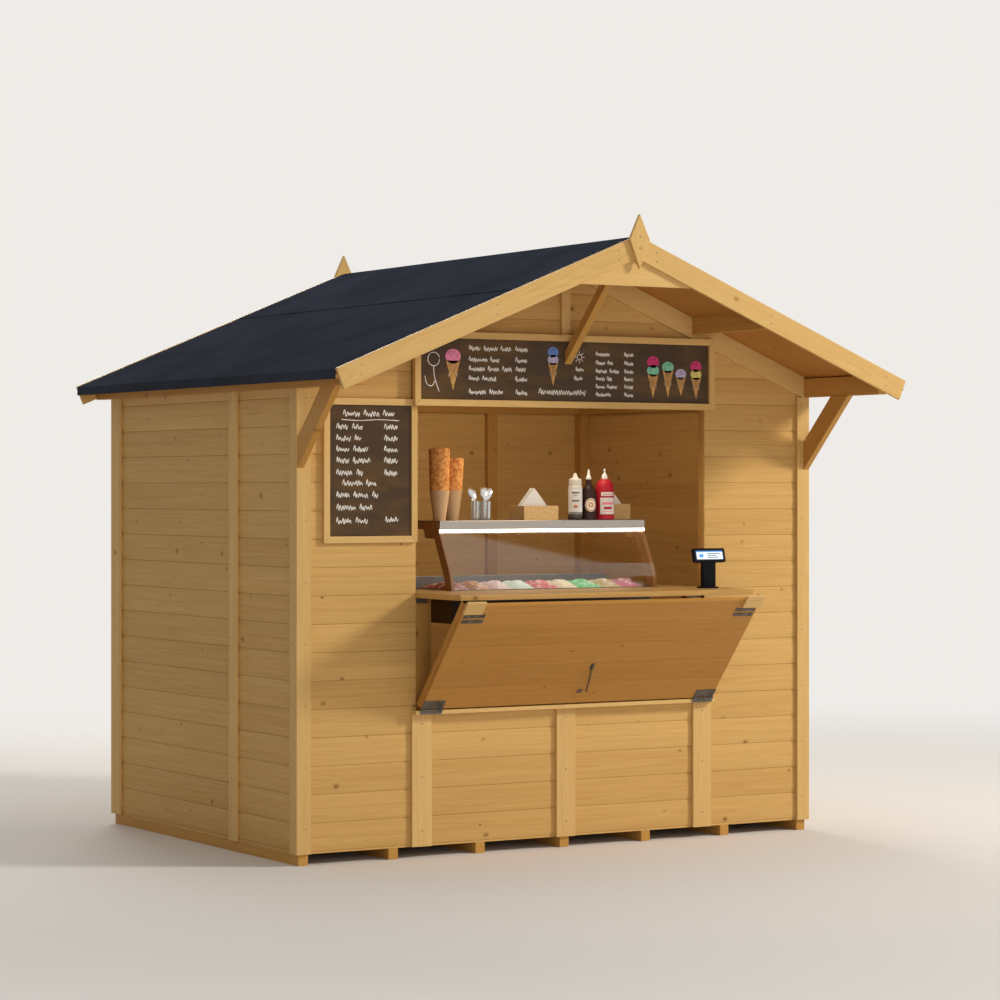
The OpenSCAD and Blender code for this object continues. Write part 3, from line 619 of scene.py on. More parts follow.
def stack(board, pitch, start, limits, seed, finish):
    """Boards between limits: left, right, low, high and, below the roof, its peak."""
    left, right, low, high, peak = (*limits, FAR_PEAK)[:5]
    first = start + math.floor((low - start) / pitch + 1e-6) * pitch
    rows = math.ceil((high - first) / pitch - 1e-6)
    host = bpy.data.objects.new("host", bpy.data.meshes.new("host"))
    return evaluate(host, stack_tree, stack_keys, Board=board, Rows=rows, Pitch=pitch, First=first, Low=low,
                    High=high, Left=left, Right=right, Peak=peak, Slope=SLOPE, Seed=seed, Finish=finish)


def joined(meshes):
    bm = bmesh.new()
    for mesh in meshes:
        bm.from_mesh(mesh)
    made = bpy.data.meshes.new("joined")
    bm.to_mesh(made)
    bm.free()
    for material in meshes[0].materials:
        made.materials.append(material)
    return made


# %% [markdown]
# A wall is a list of stacks. Each stack is evaluated to a plain mesh and then
# turned into place, so the boards of the side walls run front to back.

# %% Limits of the walls
FIRST_JOINT, CLEAR, DOOR_GAP, STRIP_BACK = 0.0585, 0.001, 0.003, 0.642
wall_low, wall_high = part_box("right_wall")
hatch_low, hatch_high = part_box("front_wall_lower")
gable_low, gable_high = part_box("front_gable")
door_low, door_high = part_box("back_door")
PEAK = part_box("purlins")[1].z
front_face, back_face = hatch_low.y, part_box("back_wall_sides")[1].y
jamb, edge = hatch_high.x + CLEAR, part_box("front_wall_sides")[1].x
door0, door1 = door_low.x - DOOR_GAP, door_high.x + DOOR_GAP
strip_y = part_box("cover_strips")[0].y + STRIP_BACK
full, below_peak = (wall_low.z, wall_high.z), (wall_high.z, PEAK - 0.01, PEAK)
print("walls from", full[0], "to", full[1])


# %% Walls of boards
def wall(node, seed, turn, place, *stacks):
    mesh = joined([stack(rounded_board, PITCH, FIRST_JOINT, limits, seed + i, finishes["cladding"])
                   for i, limits in enumerate(stacks)])
    mesh.transform(Matrix.Translation(place) @ Matrix.Rotation(math.radians(turn), 4, "Z"))
    settle("cladding_" + node, mesh, "cladding", replaces=[node], crease=25)


at_front, at_back = (0, front_face, 0), (0, back_face, 0)
wall("front_wall_sides", 11, 0, at_front, (-edge, -jamb, *full), (jamb, edge, *full))
wall("front_wall_lower", 23, 0, at_front, (CLEAR - jamb, jamb - CLEAR, full[0], hatch_high.z))
wall("front_gable", 31, 0, at_front,
     (-gable_high.x, gable_high.x, *below_peak), (-jamb, jamb, gable_low.z, full[1]))
wall("right_wall", 47, 90, (wall_high.x, 0, 0),
     (wall_low.y, strip_y - CLEAR, *full), (strip_y + CLEAR, wall_high.y, *full))
wall("left_wall", 53, -90, (-wall_high.x, 0, 0),
     (-wall_high.y, -strip_y - CLEAR, *full), (CLEAR - strip_y, -wall_low.y, *full))
wall("back_wall_sides", 61, 180, at_back, (-edge, -door1, *full), (-door0, edge, *full))
wall("back_gable", 71, 180, at_back,
     (-gable_high.x, gable_high.x, *below_peak), (-door1, -door0, door_high.z + DOOR_GAP, full[1]))
print("walls clad")

# %% [markdown]
# ## Roof boards, floor, staff door and flap
# These are flat tongue-and-groove boards with a small V at each joint. The same
# tree lays them, and a matrix puts the stack where it belongs: its first axis
# runs along the boards, its second into the timber and its third over the rows.

# %% Flat boards
def axes_to(place, along, inward):
    along, inward = Vector(along), Vector(inward)
    turn = Matrix((along, inward, along.cross(inward))).transposed().to_4x4()
    return Matrix.Translation(place) @ turn


def flat_boards(name, slot, layouts, rows, body="hut", replaces=(), look=None):
    """layouts: (matrix, left, right, low, high) for each stack of rows boards."""
    meshes = []
    for i, (matrix, *limits) in enumerate(layouts):
        low, high = limits[2:]
        pitch = (high - low) / rows
        board = profile_board("flat_board", pitch, FLAT_T, flat_face)
        mesh = stack(board, pitch, low, limits, len(name) + 7 * i, finishes[look or slot])
        mesh.transform(matrix)
        meshes.append(mesh)
    settle(name, joined(meshes), slot, body, replaces, crease=25)


ROOF_ROWS, FLOOR_ROWS, DOOR_ROWS, FLAP_ROWS = 24, 17, 6, 5
DECK_SEAT, RIDGE_GAP = 0.0002, 0.002
down, along = math.sin(ROOF_PITCH), math.cos(ROOF_PITCH)
low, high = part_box("roof_deck")
deck_end = (high.x - FLAT_T * down) / along
layouts = [(axes_to((0, 0, PEAK + DECK_SEAT), (s * along, 0, -down), (s * down, 0, along)),
            RIDGE_GAP, deck_end, *sorted((-s * low.y, -s * high.y))) for s in (1, -1)]
flat_boards("roof_boards", "trim", layouts, ROOF_ROWS, replaces=["roof_deck"], look="roof_boards")

low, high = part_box("floor_deck")
lay = axes_to((0, 0, high.z), (1, 0, 0), (0, 0, -1))
flat_boards("floor_boards", "flooring", [(lay, low.x, high.x, low.y, high.y)], FLOOR_ROWS,
            replaces=["floor_deck"])

stand = axes_to((0, door_high.y, 0), (0, 0, 1), (0, -1, 0))
flat_boards("door_boards", "cladding", [(stand, door_low.z, door_high.z, door_low.x, door_high.x)],
            DOOR_ROWS, replaces=["back_door"])
print("roof, floor and door boarded")


# %% Outlines pulled to depth
def rectangle(x0, x1, z0, z1):
    return [(x0, z0), (x1, z0), (x1, z1), (x0, z1)]


def solid(outlines, y0, y1):
    """One closed prism for each outline in X and Z."""
    verts, faces = [], []
    for outline in outlines:
        n, first = len(outline), len(verts)
        verts += [(x, y, z) for y in (y0, y1) for x, z in outline]
        faces += [tuple(range(first, first + n)), tuple(range(first + 2 * n - 1, first + n - 1, -1))]
        faces += [(first + i, first + n + i, first + n + (i + 1) % n, first + (i + 1) % n)
                  for i in range(n)]
    return skin(verts, faces)


def mitred(x0, x1, z0, z1, y0, y1, rim):
    """Four frame members that meet at 45 degrees, a hair apart."""
    s = 0.0003
    return solid([
        [(x0 + s, z0), (x1 - s, z0), (x1 - rim - s, z0 + rim), (x0 + rim + s, z0 + rim)],
        [(x0 + rim + s, z1 - rim), (x1 - rim - s, z1 - rim), (x1 - s, z1), (x0 + s, z1)],
        [(x0, z0 + s), (x0 + rim, z0 + rim + s), (x0 + rim, z1 - rim - s), (x0, z1 - s)],
        [(x1 - rim, z0 + rim + s), (x1, z0 + s), (x1, z1 - s), (x1 - rim, z1 - rim - s)]], y0, y1)


# %% Door ledges
LEDGES_Z, LEDGE_H, LEDGE_IN, LEDGE_BACK = (0.220, 0.960, 1.700), 0.095, 0.07, 0.020
ledges = solid([rectangle(door_low.x + LEDGE_IN, door_high.x - LEDGE_IN, z, z + LEDGE_H)
                for z in LEDGES_Z], door_low.y, door_high.y - LEDGE_BACK)
settle("door_ledges", board_mesh(ledges, 0.002), "cladding")
print(len(LEDGES_Z), "door ledges")

# %% Flap
LEAN_OUT = math.radians(40)
FLAP_X, FLAP_LOW, FLAP_TOP, FLAP_RIM = 0.795, 0.003, 0.622, 0.060
FACE_Y, FACE_T, FRAME_T, TOP_BEVEL, INSET = 0.005, 0.018, 0.020, 0.020, 0.007
hinge = frame["record"]["behaviour"]["joints"][0]["pos_m"]
FLAP = Matrix.Translation(hinge) @ Matrix.Rotation(LEAN_OUT, 4, "X")
on_flap = FLAP @ Matrix.Translation((0, FACE_Y, 0))
flat_boards("flap_boards", "flap_wood", [(on_flap, INSET - FLAP_X, FLAP_X - INSET, FLAP_LOW, FLAP_TOP)],
            FLAP_ROWS, "flap", ["flap_panel"])
rail_y = FACE_Y + FACE_T
rails = mitred(-FLAP_X, FLAP_X, FLAP_LOW, FLAP_TOP, rail_y, rail_y + FRAME_T, FLAP_RIM)
for corner in rails.vertices:
    if corner.co.z > FLAP_TOP - 1e-4 and corner.co.y > rail_y + 1e-4:
        corner.co.z -= TOP_BEVEL
rails.transform(FLAP)
settle("flap_rails", board_mesh(rails, 0.0018), "flap_wood", "flap", ["flap_frame"])
print("flap leans out", round(math.degrees(LEAN_OUT)), "degrees")

# %% [markdown]
# The braces are planed slimmer than their solids. The centre brace is drawn from
# the side as a prism, with X and Y changed about, whose foot sits on the header
# panel and whose head meets the ridge. The knee braces are copies of the CAD
# ones, drawn in across X.

# %% Braces
BRACE_W, BRACE_T, KNEE_W = 0.036, 0.042, 0.031
low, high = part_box("centre_brace")
steep = (high.z - low.z) / (high.y - low.y)
rise = BRACE_T * math.sqrt(1 + steep * steep)
side = [(high.y, low.z), (high.y, low.z + rise), (low.y + rise / steep, high.z), (low.y, high.z)]
brace = solid([side], -BRACE_W / 2, BRACE_W / 2)
brace.transform(Matrix(((0, 1, 0, 0), (1, 0, 0, 0), (0, 0, 1, 0), (0, 0, 0, 1))))
settle("planed_centre_brace", board_mesh(outward(brace), 0.0016), "framing", replaces=["centre_brace"])

knees = frame["nodes"]["knee_braces"].data.copy()
reach = [abs(corner.co.x) for corner in knees.vertices]
middle, cad_w = (min(reach) + max(reach)) / 2, max(reach) - min(reach)
for corner in knees.vertices:
    x = middle + (abs(corner.co.x) - middle) * KNEE_W / cad_w
    corner.co.x = math.copysign(x, corner.co.x)
settle("planed_knee_braces", board_mesh(knees, 0.0016), "framing", replaces=["knee_braces"])
print("knee braces planed from", round(cad_w, 3), "to", KNEE_W)

# %% [markdown]
# ## Sign boards
# Each board is a dark panel in a mitred pine frame. The chalk marks are made as
# what they are: flat strokes of pigment a fraction of a millimetre thick. A
# stroke is a polyline that is rounded, given the width of a piece of chalk and a
# crumbly edge by its material. Rows of close scribble stand for a price list,
# and a few cones are drawn in coloured chalk.

# %% Frames and panels
SIGN_RIM = 0.030
# The board itself is dark; the warm brown of its panel and of its chalk dust is painted warm sunlight.
slate = Finish("chalkboard_paint", Specular_IOR_Level=0.4)
wiped = slate.noise(slate.place, (3.52, 1.6, 11.2), 4.0, 0.6)
dust = slate.step(wiped, 0.42, 0.72) * (0.6 + slate.noise(slate.place, 90.0, 2.0) * 0.8)
slate.set(Base_Color=slate.mix("422f1b", "775a35", dust * 0.55), Roughness=0.62 + dust * 0.25,
          Normal=slate.bump(slate.noise(slate.place, 700.0, 2.0), 0.0003, 0.3))
finishes["blackboard"] = slate.data

for sign in ("header_sign", "menu_board"):
    low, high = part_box(sign + "_frame")
    members = mitred(low.x, high.x, low.z, high.z, low.y, high.y, SIGN_RIM)
    settle(f"mitred_{sign}_frame", board_mesh(members, 0.002), "trim", replaces=[sign + "_frame"])
for sign in ("header_sign", "menu_board"):
    dress(sign + "_panel", "blackboard", bevel=0.0008)
print("sign boards framed")

# %% Chalk
chalk = Finish("chalk", Roughness=0.95, Specular_IOR_Level=0.1)
crumbs = chalk.noise(chalk.place, 520.0, 3.0, 0.7)
smear = chalk.noise(chalk.place, 45.0, 2.0)
tint = chalk.attribute("tint", "Color")
chalk.set(Base_Color=chalk.mix(tint, "3a332d", chalk.step(smear, 0.35, 0.75) * 0.35),
          Alpha=chalk.step(crumbs + smear * 0.5, 0.50, 0.66),
          Normal=chalk.bump(crumbs, 0.0002, 0.4))
CHALK = {"white": "efe9df", "pink": "f08fb0", "rose": "d8427f", "mint": "86cfae", "tan": "d9a566",
         "lemon": "dfd27a", "lilac": "c2b8d8", "blue": "6f8fd0"}


def around(x, z, r_x, r_z, steps, turns=1.0):
    """Points around an oval, from its right and against the clock."""
    angles = [2 * math.pi * turns * i / steps for i in range(steps)]
    return [(x + r_x * math.cos(a), z + r_z * math.sin(a)) for a in angles]


# %% Chalk strokes
CHALK_T = 0.0004


class Slate:
    """Collects strokes and patches on a panel, in metres from its lower left corner."""

    def __init__(self, node, seed):
        low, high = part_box(node)
        self.x, self.y, self.z = low.x, low.y - CHALK_T, low.z
        self.verts, self.faces, self.tints = [], [], []
        self.hand = random.Random(seed)

    def patch(self, points, tint):
        first = len(self.verts)
        self.verts += [(self.x + x, self.y, self.z + z) for x, z in points]
        self.tints += [linear(CHALK[tint])] * len(points)
        self.faces.append(tuple(range(first, first + len(points))))

    def stroke(self, points, width=0.0036):
        """A smooth white line through the points, a little uneven in width."""
        p = np.array(points, float)
        t = np.linspace(0, len(p) - 1, 4 * (len(p) - 1) + 1)
        k = np.clip(t.astype(int), 0, len(p) - 2)
        f = (t - k)[:, None]
        before, after = p[np.maximum(k - 1, 0)], p[np.minimum(k + 2, len(p) - 1)]
        line = 0.5 * (2 * p[k] + (p[k + 1] - before) * f
                      + (2 * before - 5 * p[k] + 4 * p[k + 1] - after) * f ** 2
                      + (3 * (p[k] - p[k + 1]) + after - before) * f ** 3)
        way = np.gradient(line, axis=0)
        way /= np.linalg.norm(way, axis=1)[:, None] + 1e-9
        side = np.stack([-way[:, 1], way[:, 0]], 1) * width / 2
        side *= np.array([0.8 + 0.4 * self.hand.random() for _ in line])[:, None]
        left, right = line - side, line + side
        for i in range(len(line) - 1):
            self.patch([left[i], left[i + 1], right[i + 1], right[i]], "white")

    def squiggle(self, x, z, width, height):
        """A word-long scribble, close and thick, that no one could read."""
        end, points, up, tall = x + width, [(x, z + height * 0.3)], True, 1.3
        while x < end:
            x += height * self.hand.uniform(0.18, 0.36)
            points.append((x, z + height * (tall if up else self.hand.uniform(-0.1, 0.25))))
            up, tall = not up, self.hand.uniform(0.6, 1.1)
        self.stroke(points, 0.0042)

    def ring(self, x, z, r, steps=15):
        """A circle that runs on a little past its start, as a hand draws it."""
        self.stroke(around(x, z, r, r, steps, 1.04 * steps / (steps - 1)))

    def row(self, x, z, width, height):
        """Scribbles with gaps between them, as far as the width goes."""
        while width > height:
            part = min(width, height * self.hand.uniform(2.2, 5.0))
            self.squiggle(x, z, part, height)
            x, width = x + part + height * 1.1, width - part - height * 1.1

    def cone(self, x, z, height, r, scoops):
        top = z + height
        self.patch([(x, z), (x + r, top), (x - r, top)], "tan")
        for k in (-0.5, 0.0, 0.5):
            for slant in (-1, 1):
                self.stroke([(x + k * r, top), (x + (k + slant) * r * 0.4, top - height * 0.55)], 0.0016)
        for i, tint in enumerate(scoops):
            c = top + r * (0.55 + 1.35 * i)
            self.patch(around(x, c, r * 1.12, r * 0.92, 22), tint)
            for shine in (((-0.5, 0.25), (-0.1, 0.5), (0.3, 0.45)),
                          ((-0.9, -0.5), (-0.2, -0.7), (0.8, -0.55))):
                self.stroke([(x + u * r, c + v * r) for u, v in shine], 0.002)

    def finish(self, name):
        mesh = bpy.data.meshes.new(name)
        mesh.from_pydata(self.verts, [], self.faces)
        store(mesh, "tint", self.tints)
        settle(name, mesh, "blackboard", finish=chalk.data)
        print(name, len(self.faces), "patches")


# %% Drawings on the header board
sun_x, sun_z = 0.845, 0.205
board = Slate("header_sign_panel", 5)
board.cone(0.172, 0.040, 0.135, 0.036, ["pink"])
board.ring(0.072, 0.180, 0.030)
board.stroke([(0.072, 0.150), (0.074, 0.110), (0.086, 0.070), (0.100, 0.035)])
board.stroke([(0.026, 0.105), (0.036, 0.070), (0.062, 0.060), (0.080, 0.085)])
for z, length in ((0.222, 0.215), (0.172, 0.165), (0.130, 0.225), (0.086, 0.140), (0.026, 0.200)):
    board.row(0.255, z, length, 0.019)
    board.row(0.500, z, 0.060, 0.019)
board.cone(0.702, 0.070, 0.105, 0.026, ["lilac", "blue"])
board.ring(sun_x, sun_z, 0.013)
for inner, outer in zip(around(sun_x, sun_z, 0.019, 0.019, 8), around(sun_x, sun_z, 0.028, 0.028, 8)):
    board.stroke([inner, outer])
board.row(0.825, 0.140, 0.040, 0.016)
board.row(0.815, 0.098, 0.050, 0.016)
board.squiggle(0.625, 0.028, 0.250, 0.024)
for z, length in ((0.212, 0.105), (0.172, 0.090), (0.134, 0.125),
                  (0.098, 0.085), (0.062, 0.135), (0.026, 0.095)):
    board.row(0.935, z, length, 0.016)
    board.row(1.092, z, 0.048, 0.016)
board.cone(1.253, 0.022, 0.112, 0.030, ["mint", "rose"])
board.cone(1.337, 0.024, 0.128, 0.029, ["mint"])
board.cone(1.410, 0.034, 0.088, 0.027, ["lilac"])
board.cone(1.497, 0.022, 0.100, 0.028, ["lemon", "rose"])
board.finish("header_chalk")

# %% Drawings on the menu board
board = Slate("menu_board_panel", 9)
board.row(0.070, 0.530, 0.270, 0.022)
board.stroke([(0.060, 0.515), (0.150, 0.511), (0.250, 0.516), (0.350, 0.512)])
for z, length in ((0.470, 0.125), (0.420, 0.120), (0.372, 0.150), (0.322, 0.165), (0.268, 0.130)):
    board.row(0.035, z, length, 0.022)
    board.row(0.275, z, 0.062, 0.022)
for x, z, length in ((0.065, 0.222, 0.165), (0.035, 0.170, 0.205),
                     (0.035, 0.115, 0.175), (0.035, 0.056, 0.155)):
    board.row(x, z, length, 0.022)
board.row(0.280, 0.060, 0.060, 0.022)
board.finish("menu_chalk")

# %% [markdown]
# ## Roofing felt
# Mineral felt is a heavy sheet that lies in courses: the lower one turns down
# over the eaves, the upper one goes over the ridge and laps the lower one. Each
# course is a strip that follows a path of points, is pulled from front to back
# with slow waves of a fraction of a millimetre, and has a real thickness, so the
# lap throws a line of shadow. The slate colour is made of fine granules.

# %% Shells and strips
def shell(outer, inner, wrap=False):
    """A closed skin between two grids of points, rows by columns."""
    rows, cols = outer.shape[:2]
    half, last = rows * cols, cols if wrap else cols - 1
    faces = []
    for r in range(rows):
        for c in range(last):
            a, b = r * cols + c, r * cols + (c + 1) % cols
            if r < rows - 1:
                faces += [(a, b, b + cols, a + cols),
                          (half + a, half + a + cols, half + b + cols, half + b)]
            if r in (0, rows - 1):
                faces.append((a, half + a, half + b, b))
    for c in () if wrap else (0, cols - 1):
        faces += [(a, a + cols, half + a + cols, half + a) for a in range(c, half - cols, cols)]
    return skin(np.concatenate([outer.reshape(-1, 3), inner.reshape(-1, 3)]), faces)


def strip(path, span, thick, rows=90):
    """A sheet whose outer face follows a path, left to right, in X and Z."""
    path = np.array(path)
    way = np.gradient(path, axis=0)
    way /= np.linalg.norm(way, axis=1)[:, None]
    out = np.stack([-way[:, 1], way[:, 0]], 1)
    reach = np.concatenate([[0], np.cumsum(np.linalg.norm(np.diff(path, axis=0), axis=1))])
    y = np.linspace(*span, rows + 1)[:, None] + 0 * reach
    wave = 0.5 + 0.25 * np.sin(7.1 * y + 3.3 * reach) + 0.25 * np.sin(3.7 * y - 6.1 * reach + 1.0)
    grids = []
    for depth in (0.0007 * wave, thick + 0 * wave):
        x, z = np.moveaxis(path - out * depth[..., None], -1, 0)
        grids.append(np.stack([x, y, z], -1))
    return shell(*grids)


# %% Two courses a side
FELT, LAP_X, LAP = 0.003, 0.628, 0.075
BEND, HEM, RIDGE_ROUND = 0.004, 0.012, 0.00006
low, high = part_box("roof_felt")
felt_x, turn_z, ridge_top, span = high.x, low.z, high.z, (low.y, high.y)


def upper(x):
    return ridge_top - SLOPE * math.sqrt(x * x + RIDGE_ROUND)


def lower(x):
    return ridge_top - FELT / math.cos(ROOF_PITCH) - SLOPE * abs(x)


from_ridge = [0.007, 0.015, 0.03, *np.linspace(0.05, LAP_X, 12)]
over_ridge = [(x, upper(x)) for x in [-x for x in reversed(from_ridge)] + [0] + from_ridge]
eaves = [(x, lower(x)) for x in np.linspace(LAP_X - LAP, felt_x - BEND, 14)]
eaves += [(felt_x - 0.3 * BEND, lower(felt_x) - 0.1 * BEND), (felt_x, lower(felt_x) - BEND),
          (felt_x, turn_z + HEM), (felt_x, turn_z)]
left_eaves = [(-x, z) for x, z in reversed(eaves)]
courses = [strip(path, span, FELT) for path in (over_ridge, eaves, left_eaves)]
print(len(courses), "strips of felt")

# %% Felt
felt = Finish("mineral_felt", Specular_IOR_Level=0.0)
granules = felt.noise(felt.place, 620.0, 3.0, 0.7)
cloud = felt.noise(felt.place, 2.4, 4.0, 0.6)
colour = felt.mix("363a43", "3f434e", felt.step(cloud, 0.3, 0.72))
colour = felt.mix(colour, "565b63", felt.step(granules, 0.60, 0.78) * 0.4)
felt.set(Base_Color=colour, Roughness=0.82 + (granules - 0.5) * 0.2,
         Normal=felt.bump(granules, 0.0012, 0.55))
settle("felt_courses", joined(courses), "roofing_felt", replaces=["roof_felt"],
       finish=felt.data, crease=40)
print("felt laid")

# %% [markdown]
# ## Metal
# Hinges, plates and hooks are zinc plated and have dulled; the case is brushed
# stainless steel. Both are the same idea with other numbers: very fine streaks
# in the roughness and the bump, along X for the brushed sheet, and a cloud of
# dull spots for the zinc.

# %% Metal finishes
BRUSHED, EVEN = (4, 650, 650), (160, 160, 160)


def metal(name, light, dark, rough, stretch, clouds):
    m = Finish(name, Metallic=1.0)
    streaks = m.noise(m.place, stretch, 3.0, 0.65)
    dull = m.step(m.noise(m.place, 34.0, 4.0, 0.65), 0.45, 0.75) * clouds
    m.set(Base_Color=m.mix(light, dark, dull + (streaks - 0.5) * 0.35),
          Roughness=rough + (streaks - 0.5) * 0.16 + dull * 0.35,
          Normal=m.bump(streaks, 0.0002, 0.25))
    return m.data


finishes["stainless"] = metal("brushed_stainless", "b8b0a7", "938c84", 0.32, BRUSHED, 0.12)
finishes["zinc_steel"] = metal("dull_zinc", "7a746d", "4c4742", 0.52, EVEN, 0.8)
finishes["clouts"] = metal("weathered_clouts", "5a5e63", "3a3d41", 0.6, EVEN, 0.6)
for node in ("sill_hinges", "shelf_brackets", "back_door_fittings"):
    dress(node, "zinc_steel", bevel=0.0005)
for node in ("flap_hinges", "flap_fittings"):
    dress(node, "zinc_steel", "flap", bevel=0.0005)
print("metal fittings dressed")

# %% [markdown]
# ## Screws and nails
# Every fixing is one small head, turned to face out of its board. The places
# are points with a direction and a size, and a second tree puts a head on each,
# with its recess turned at random as a driver would leave it.

# %% Two heads
DOME, RECESS, CROWN = [(1.0, 0.0), (0.96, 0.16), (0.78, 0.30)], [(0.45, 0.34), (0.38, 0.02)], [(0.4, 0.40)]


def circle(r, z, place=(0, 0, 0), steps=48):
    turns = [2 * math.pi * i / steps for i in range(steps)]
    return [(place[0] + r * math.cos(a), place[1] + r * math.sin(a), place[2] + z) for a in turns]


def head_shape(name, recess):
    """A low dome one unit in radius, with or without a driver's star of six points."""
    rings = [circle(r, z, steps=12) for r, z in DOME + (RECESS if recess else CROWN)]
    for ring in rings[len(DOME):] if recess else ():
        ring[::2] = [(0.6 * x, 0.6 * y, z) for x, y, z in ring[::2]]
    return bpy.data.objects.new(name, loops(rings))


def heads_tree():
    g, keys, given = open_tree("heads_on_points", [
        ("Points", "Geometry", None), ("Head", "Object", None),
        ("Seed", "Int", 1), ("Finish", "Material", None)])
    shape = g.node("GeometryNodeObjectInfo", None, {"Object": given["Head"]}, out="Geometry")
    facing = g.node("FunctionNodeAlignRotationToVector", {"axis": "Z"}, {"Vector": recall(g, "facing")})
    spin = g.node("FunctionNodeRandomValue", {"data_type": "FLOAT"},
                  {2: 0.0, 3: 6.28, "Seed": given["Seed"]}, out=1)
    turn = g.node("FunctionNodeAxisAngleToRotation", None, {"Axis": (0, 0, 1), "Angle": spin})
    facing = g.node("FunctionNodeRotateRotation", {"rotation_space": "LOCAL"}, {0: facing, 1: turn})
    size = recall(g, "size", "FLOAT")
    placed = g.node("GeometryNodeInstanceOnPoints", None, {
        "Points": given["Points"], "Instance": shape,
        "Rotation": facing, "Scale": g.vector(size, size, size)})
    return close_tree(g, placed, given["Finish"]), keys


heads, heads_keys = heads_tree()
screw, nail = head_shape("screw_head", True), head_shape("nail_head", False)
print("inputs of the tree:", ", ".join(heads_keys))

# %% Fixings of walls and roof
NAIL, SCREW, FLAP_SCREW, CATCH_SCREW = 0.0028, 0.0035, 0.0036, 0.0034
SILL_SCREW, HOOK_SCREW, DOOR_NAIL, CLOUT, SUNK = 0.0030, 0.0026, 0.0030, 0.0055, 0.0004
FRONT, BACK = (0, -1, 0), (0, 1, 0)
fixings = {(kind, body): [] for kind in ("screw", "nail", "clout") for body in ("hut", "flap")}


def fix(kind, facing, size, places, body="hut"):
    """Notes heads of one radius. Those of the flap are placed on it as if it stood upright."""
    for place in places:
        p, d = Vector(place), Vector(facing)
        if body == "flap":
            p, d = FLAP @ p, FLAP.to_3x3() @ d
        fixings[kind, body].append((p, d, size))


post_low, post_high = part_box("corner_boards")
front_y, back_y, side_x = post_low.y, post_high.y, post_high.x
rows, strip_rows = [0.16 + 0.2695 * i for i in range(8)], (0.12, 0.36, 0.60)
for s in (-1, 1):
    fix("nail", FRONT, NAIL, [(s * (side_x - 0.045), front_y, z) for z in rows])
    fix("nail", BACK, NAIL, [(s * (side_x - 0.045), back_y, z) for z in rows])
    fix("nail", (s, 0, 0), NAIL, [(s * side_x, y, z) for z in rows for y in (front_y + 0.04, back_y - 0.06)])
    fix("nail", (s, 0, 0), NAIL, [(s * side_x, strip_y + dy, z) for z in rows for dy in (-0.022, 0.022)])
    fix("screw", FRONT, SCREW, [(s * 0.761, front_y, z) for z in strip_rows])
fix("screw", FRONT, SCREW, [(0.0, front_y, z) for z in strip_rows])

barge_low, barge_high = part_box("bargeboards")
for s in (-1, 1):
    for x in (0.10, 0.727, 1.39):
        for drop in (0.032, 0.072):
            z = barge_high.z - SLOPE * x - drop
            fix("screw", FRONT, NAIL, [(s * x, barge_low.y, z)])
            fix("screw", BACK, NAIL, [(s * x, barge_high.y, z)])
point_low, point_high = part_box("finials")
for facing, y in ((FRONT, point_low.y), (BACK, point_high.y)):
    fix("screw", facing, SCREW, [(0, y, point_high.z - drop) for drop in (0.10, 0.15)])

# %% Fixings of flap, door and felt
leaf_x = [FLAP_X - 0.004 - 0.112 * k for k in (0.16, 0.5, 0.84)]
for s in (-1, 1):
    fix("screw", FRONT, SILL_SCREW, [(s * x, front_y - 0.036, 0.648) for x in leaf_x])
    fix("screw", FRONT, FLAP_SCREW, [(s * x, 0.003, z) for x in leaf_x for z in (0.022, 0.044)], "flap")
    fix("screw", FRONT, CATCH_SCREW,
        [(s * (FLAP_X - d), 0.002, z) for d in (0.026, 0.07, 0.114) for z in (0.531, 0.561)], "flap")
fix("screw", FRONT, HOOK_SCREW, [(0.022, 0.003, z) for z in (0.2455, 0.2185)], "flap")

for z in (0.267, 1.747):
    fix("screw", BACK, SCREW, [(door0 + 0.03 + 0.07 * i, back_face + 0.003, z) for i in range(4)])
board_w = (door1 - door0) / DOOR_ROWS
fix("nail", BACK, DOOR_NAIL, [(door0 + board_w * (i + k), back_face, z) for i in range(DOOR_ROWS)
                              for k in (0.3, 0.7) for z in (0.245, 0.29, 0.985, 1.03, 1.725, 1.77)])

nail_line = [(x, (upper(x) if x < LAP_X else lower(x)) - SUNK)
             for x in np.arange(0.07, felt_x - 0.02, 0.12)]
for s in (-1, 1):
    for y in (span[0] + 0.02, span[1] - 0.02):
        fix("clout", (s * down, 0, along), CLOUT, [(s * x, y, z) for x, z in nail_line])
print(sum(len(places) for places in fixings.values()), "fixings have their places")

# %% Heads on their points
for (kind, body), places in fixings.items():
    if not places:
        continue
    spots, facings, sizes = zip(*places)
    points = bpy.data.meshes.new("points")
    points.from_pydata(spots, [], [])
    store(points, "facing", facings)
    store(points, "size", sizes)
    mesh = evaluate(bpy.data.objects.new("host", points), heads, heads_keys,
                    Head=screw if kind == "screw" else nail, Seed=len(places),
                    Finish=finishes["clouts" if kind == "clout" else "zinc_steel"])
    settle(f"{body}_{kind}_heads", mesh, "zinc_steel", body)
    print(len(places), kind, "heads on the", body)

# %% [markdown]
# ## The display case
# Two brown legs carry a brushed steel top, with a strip of light under its lip
# and a bent front pane. Thin glass hardly bends what is behind it, so the pane
# is a mirror mixed into nothing: the mix grows towards grazing angles.

# %% Case
def see_through(name, tint, rough, least, most, mirror):
    m = Finish(name, Base_Color=tint, Roughness=rough, Metallic=mirror)
    rim = m.node("ShaderNodeLayerWeight", None, {"Blend": 0.31}, out="Fresnel")
    nothing = m.node("ShaderNodeBsdfTransparent", None, {"Color": (1, 1, 1, 1)})
    m.blend((least + rim * most) * (0.9 + m.noise(m.place, 9.0) * 0.2), nothing, m.own)
    return m.data


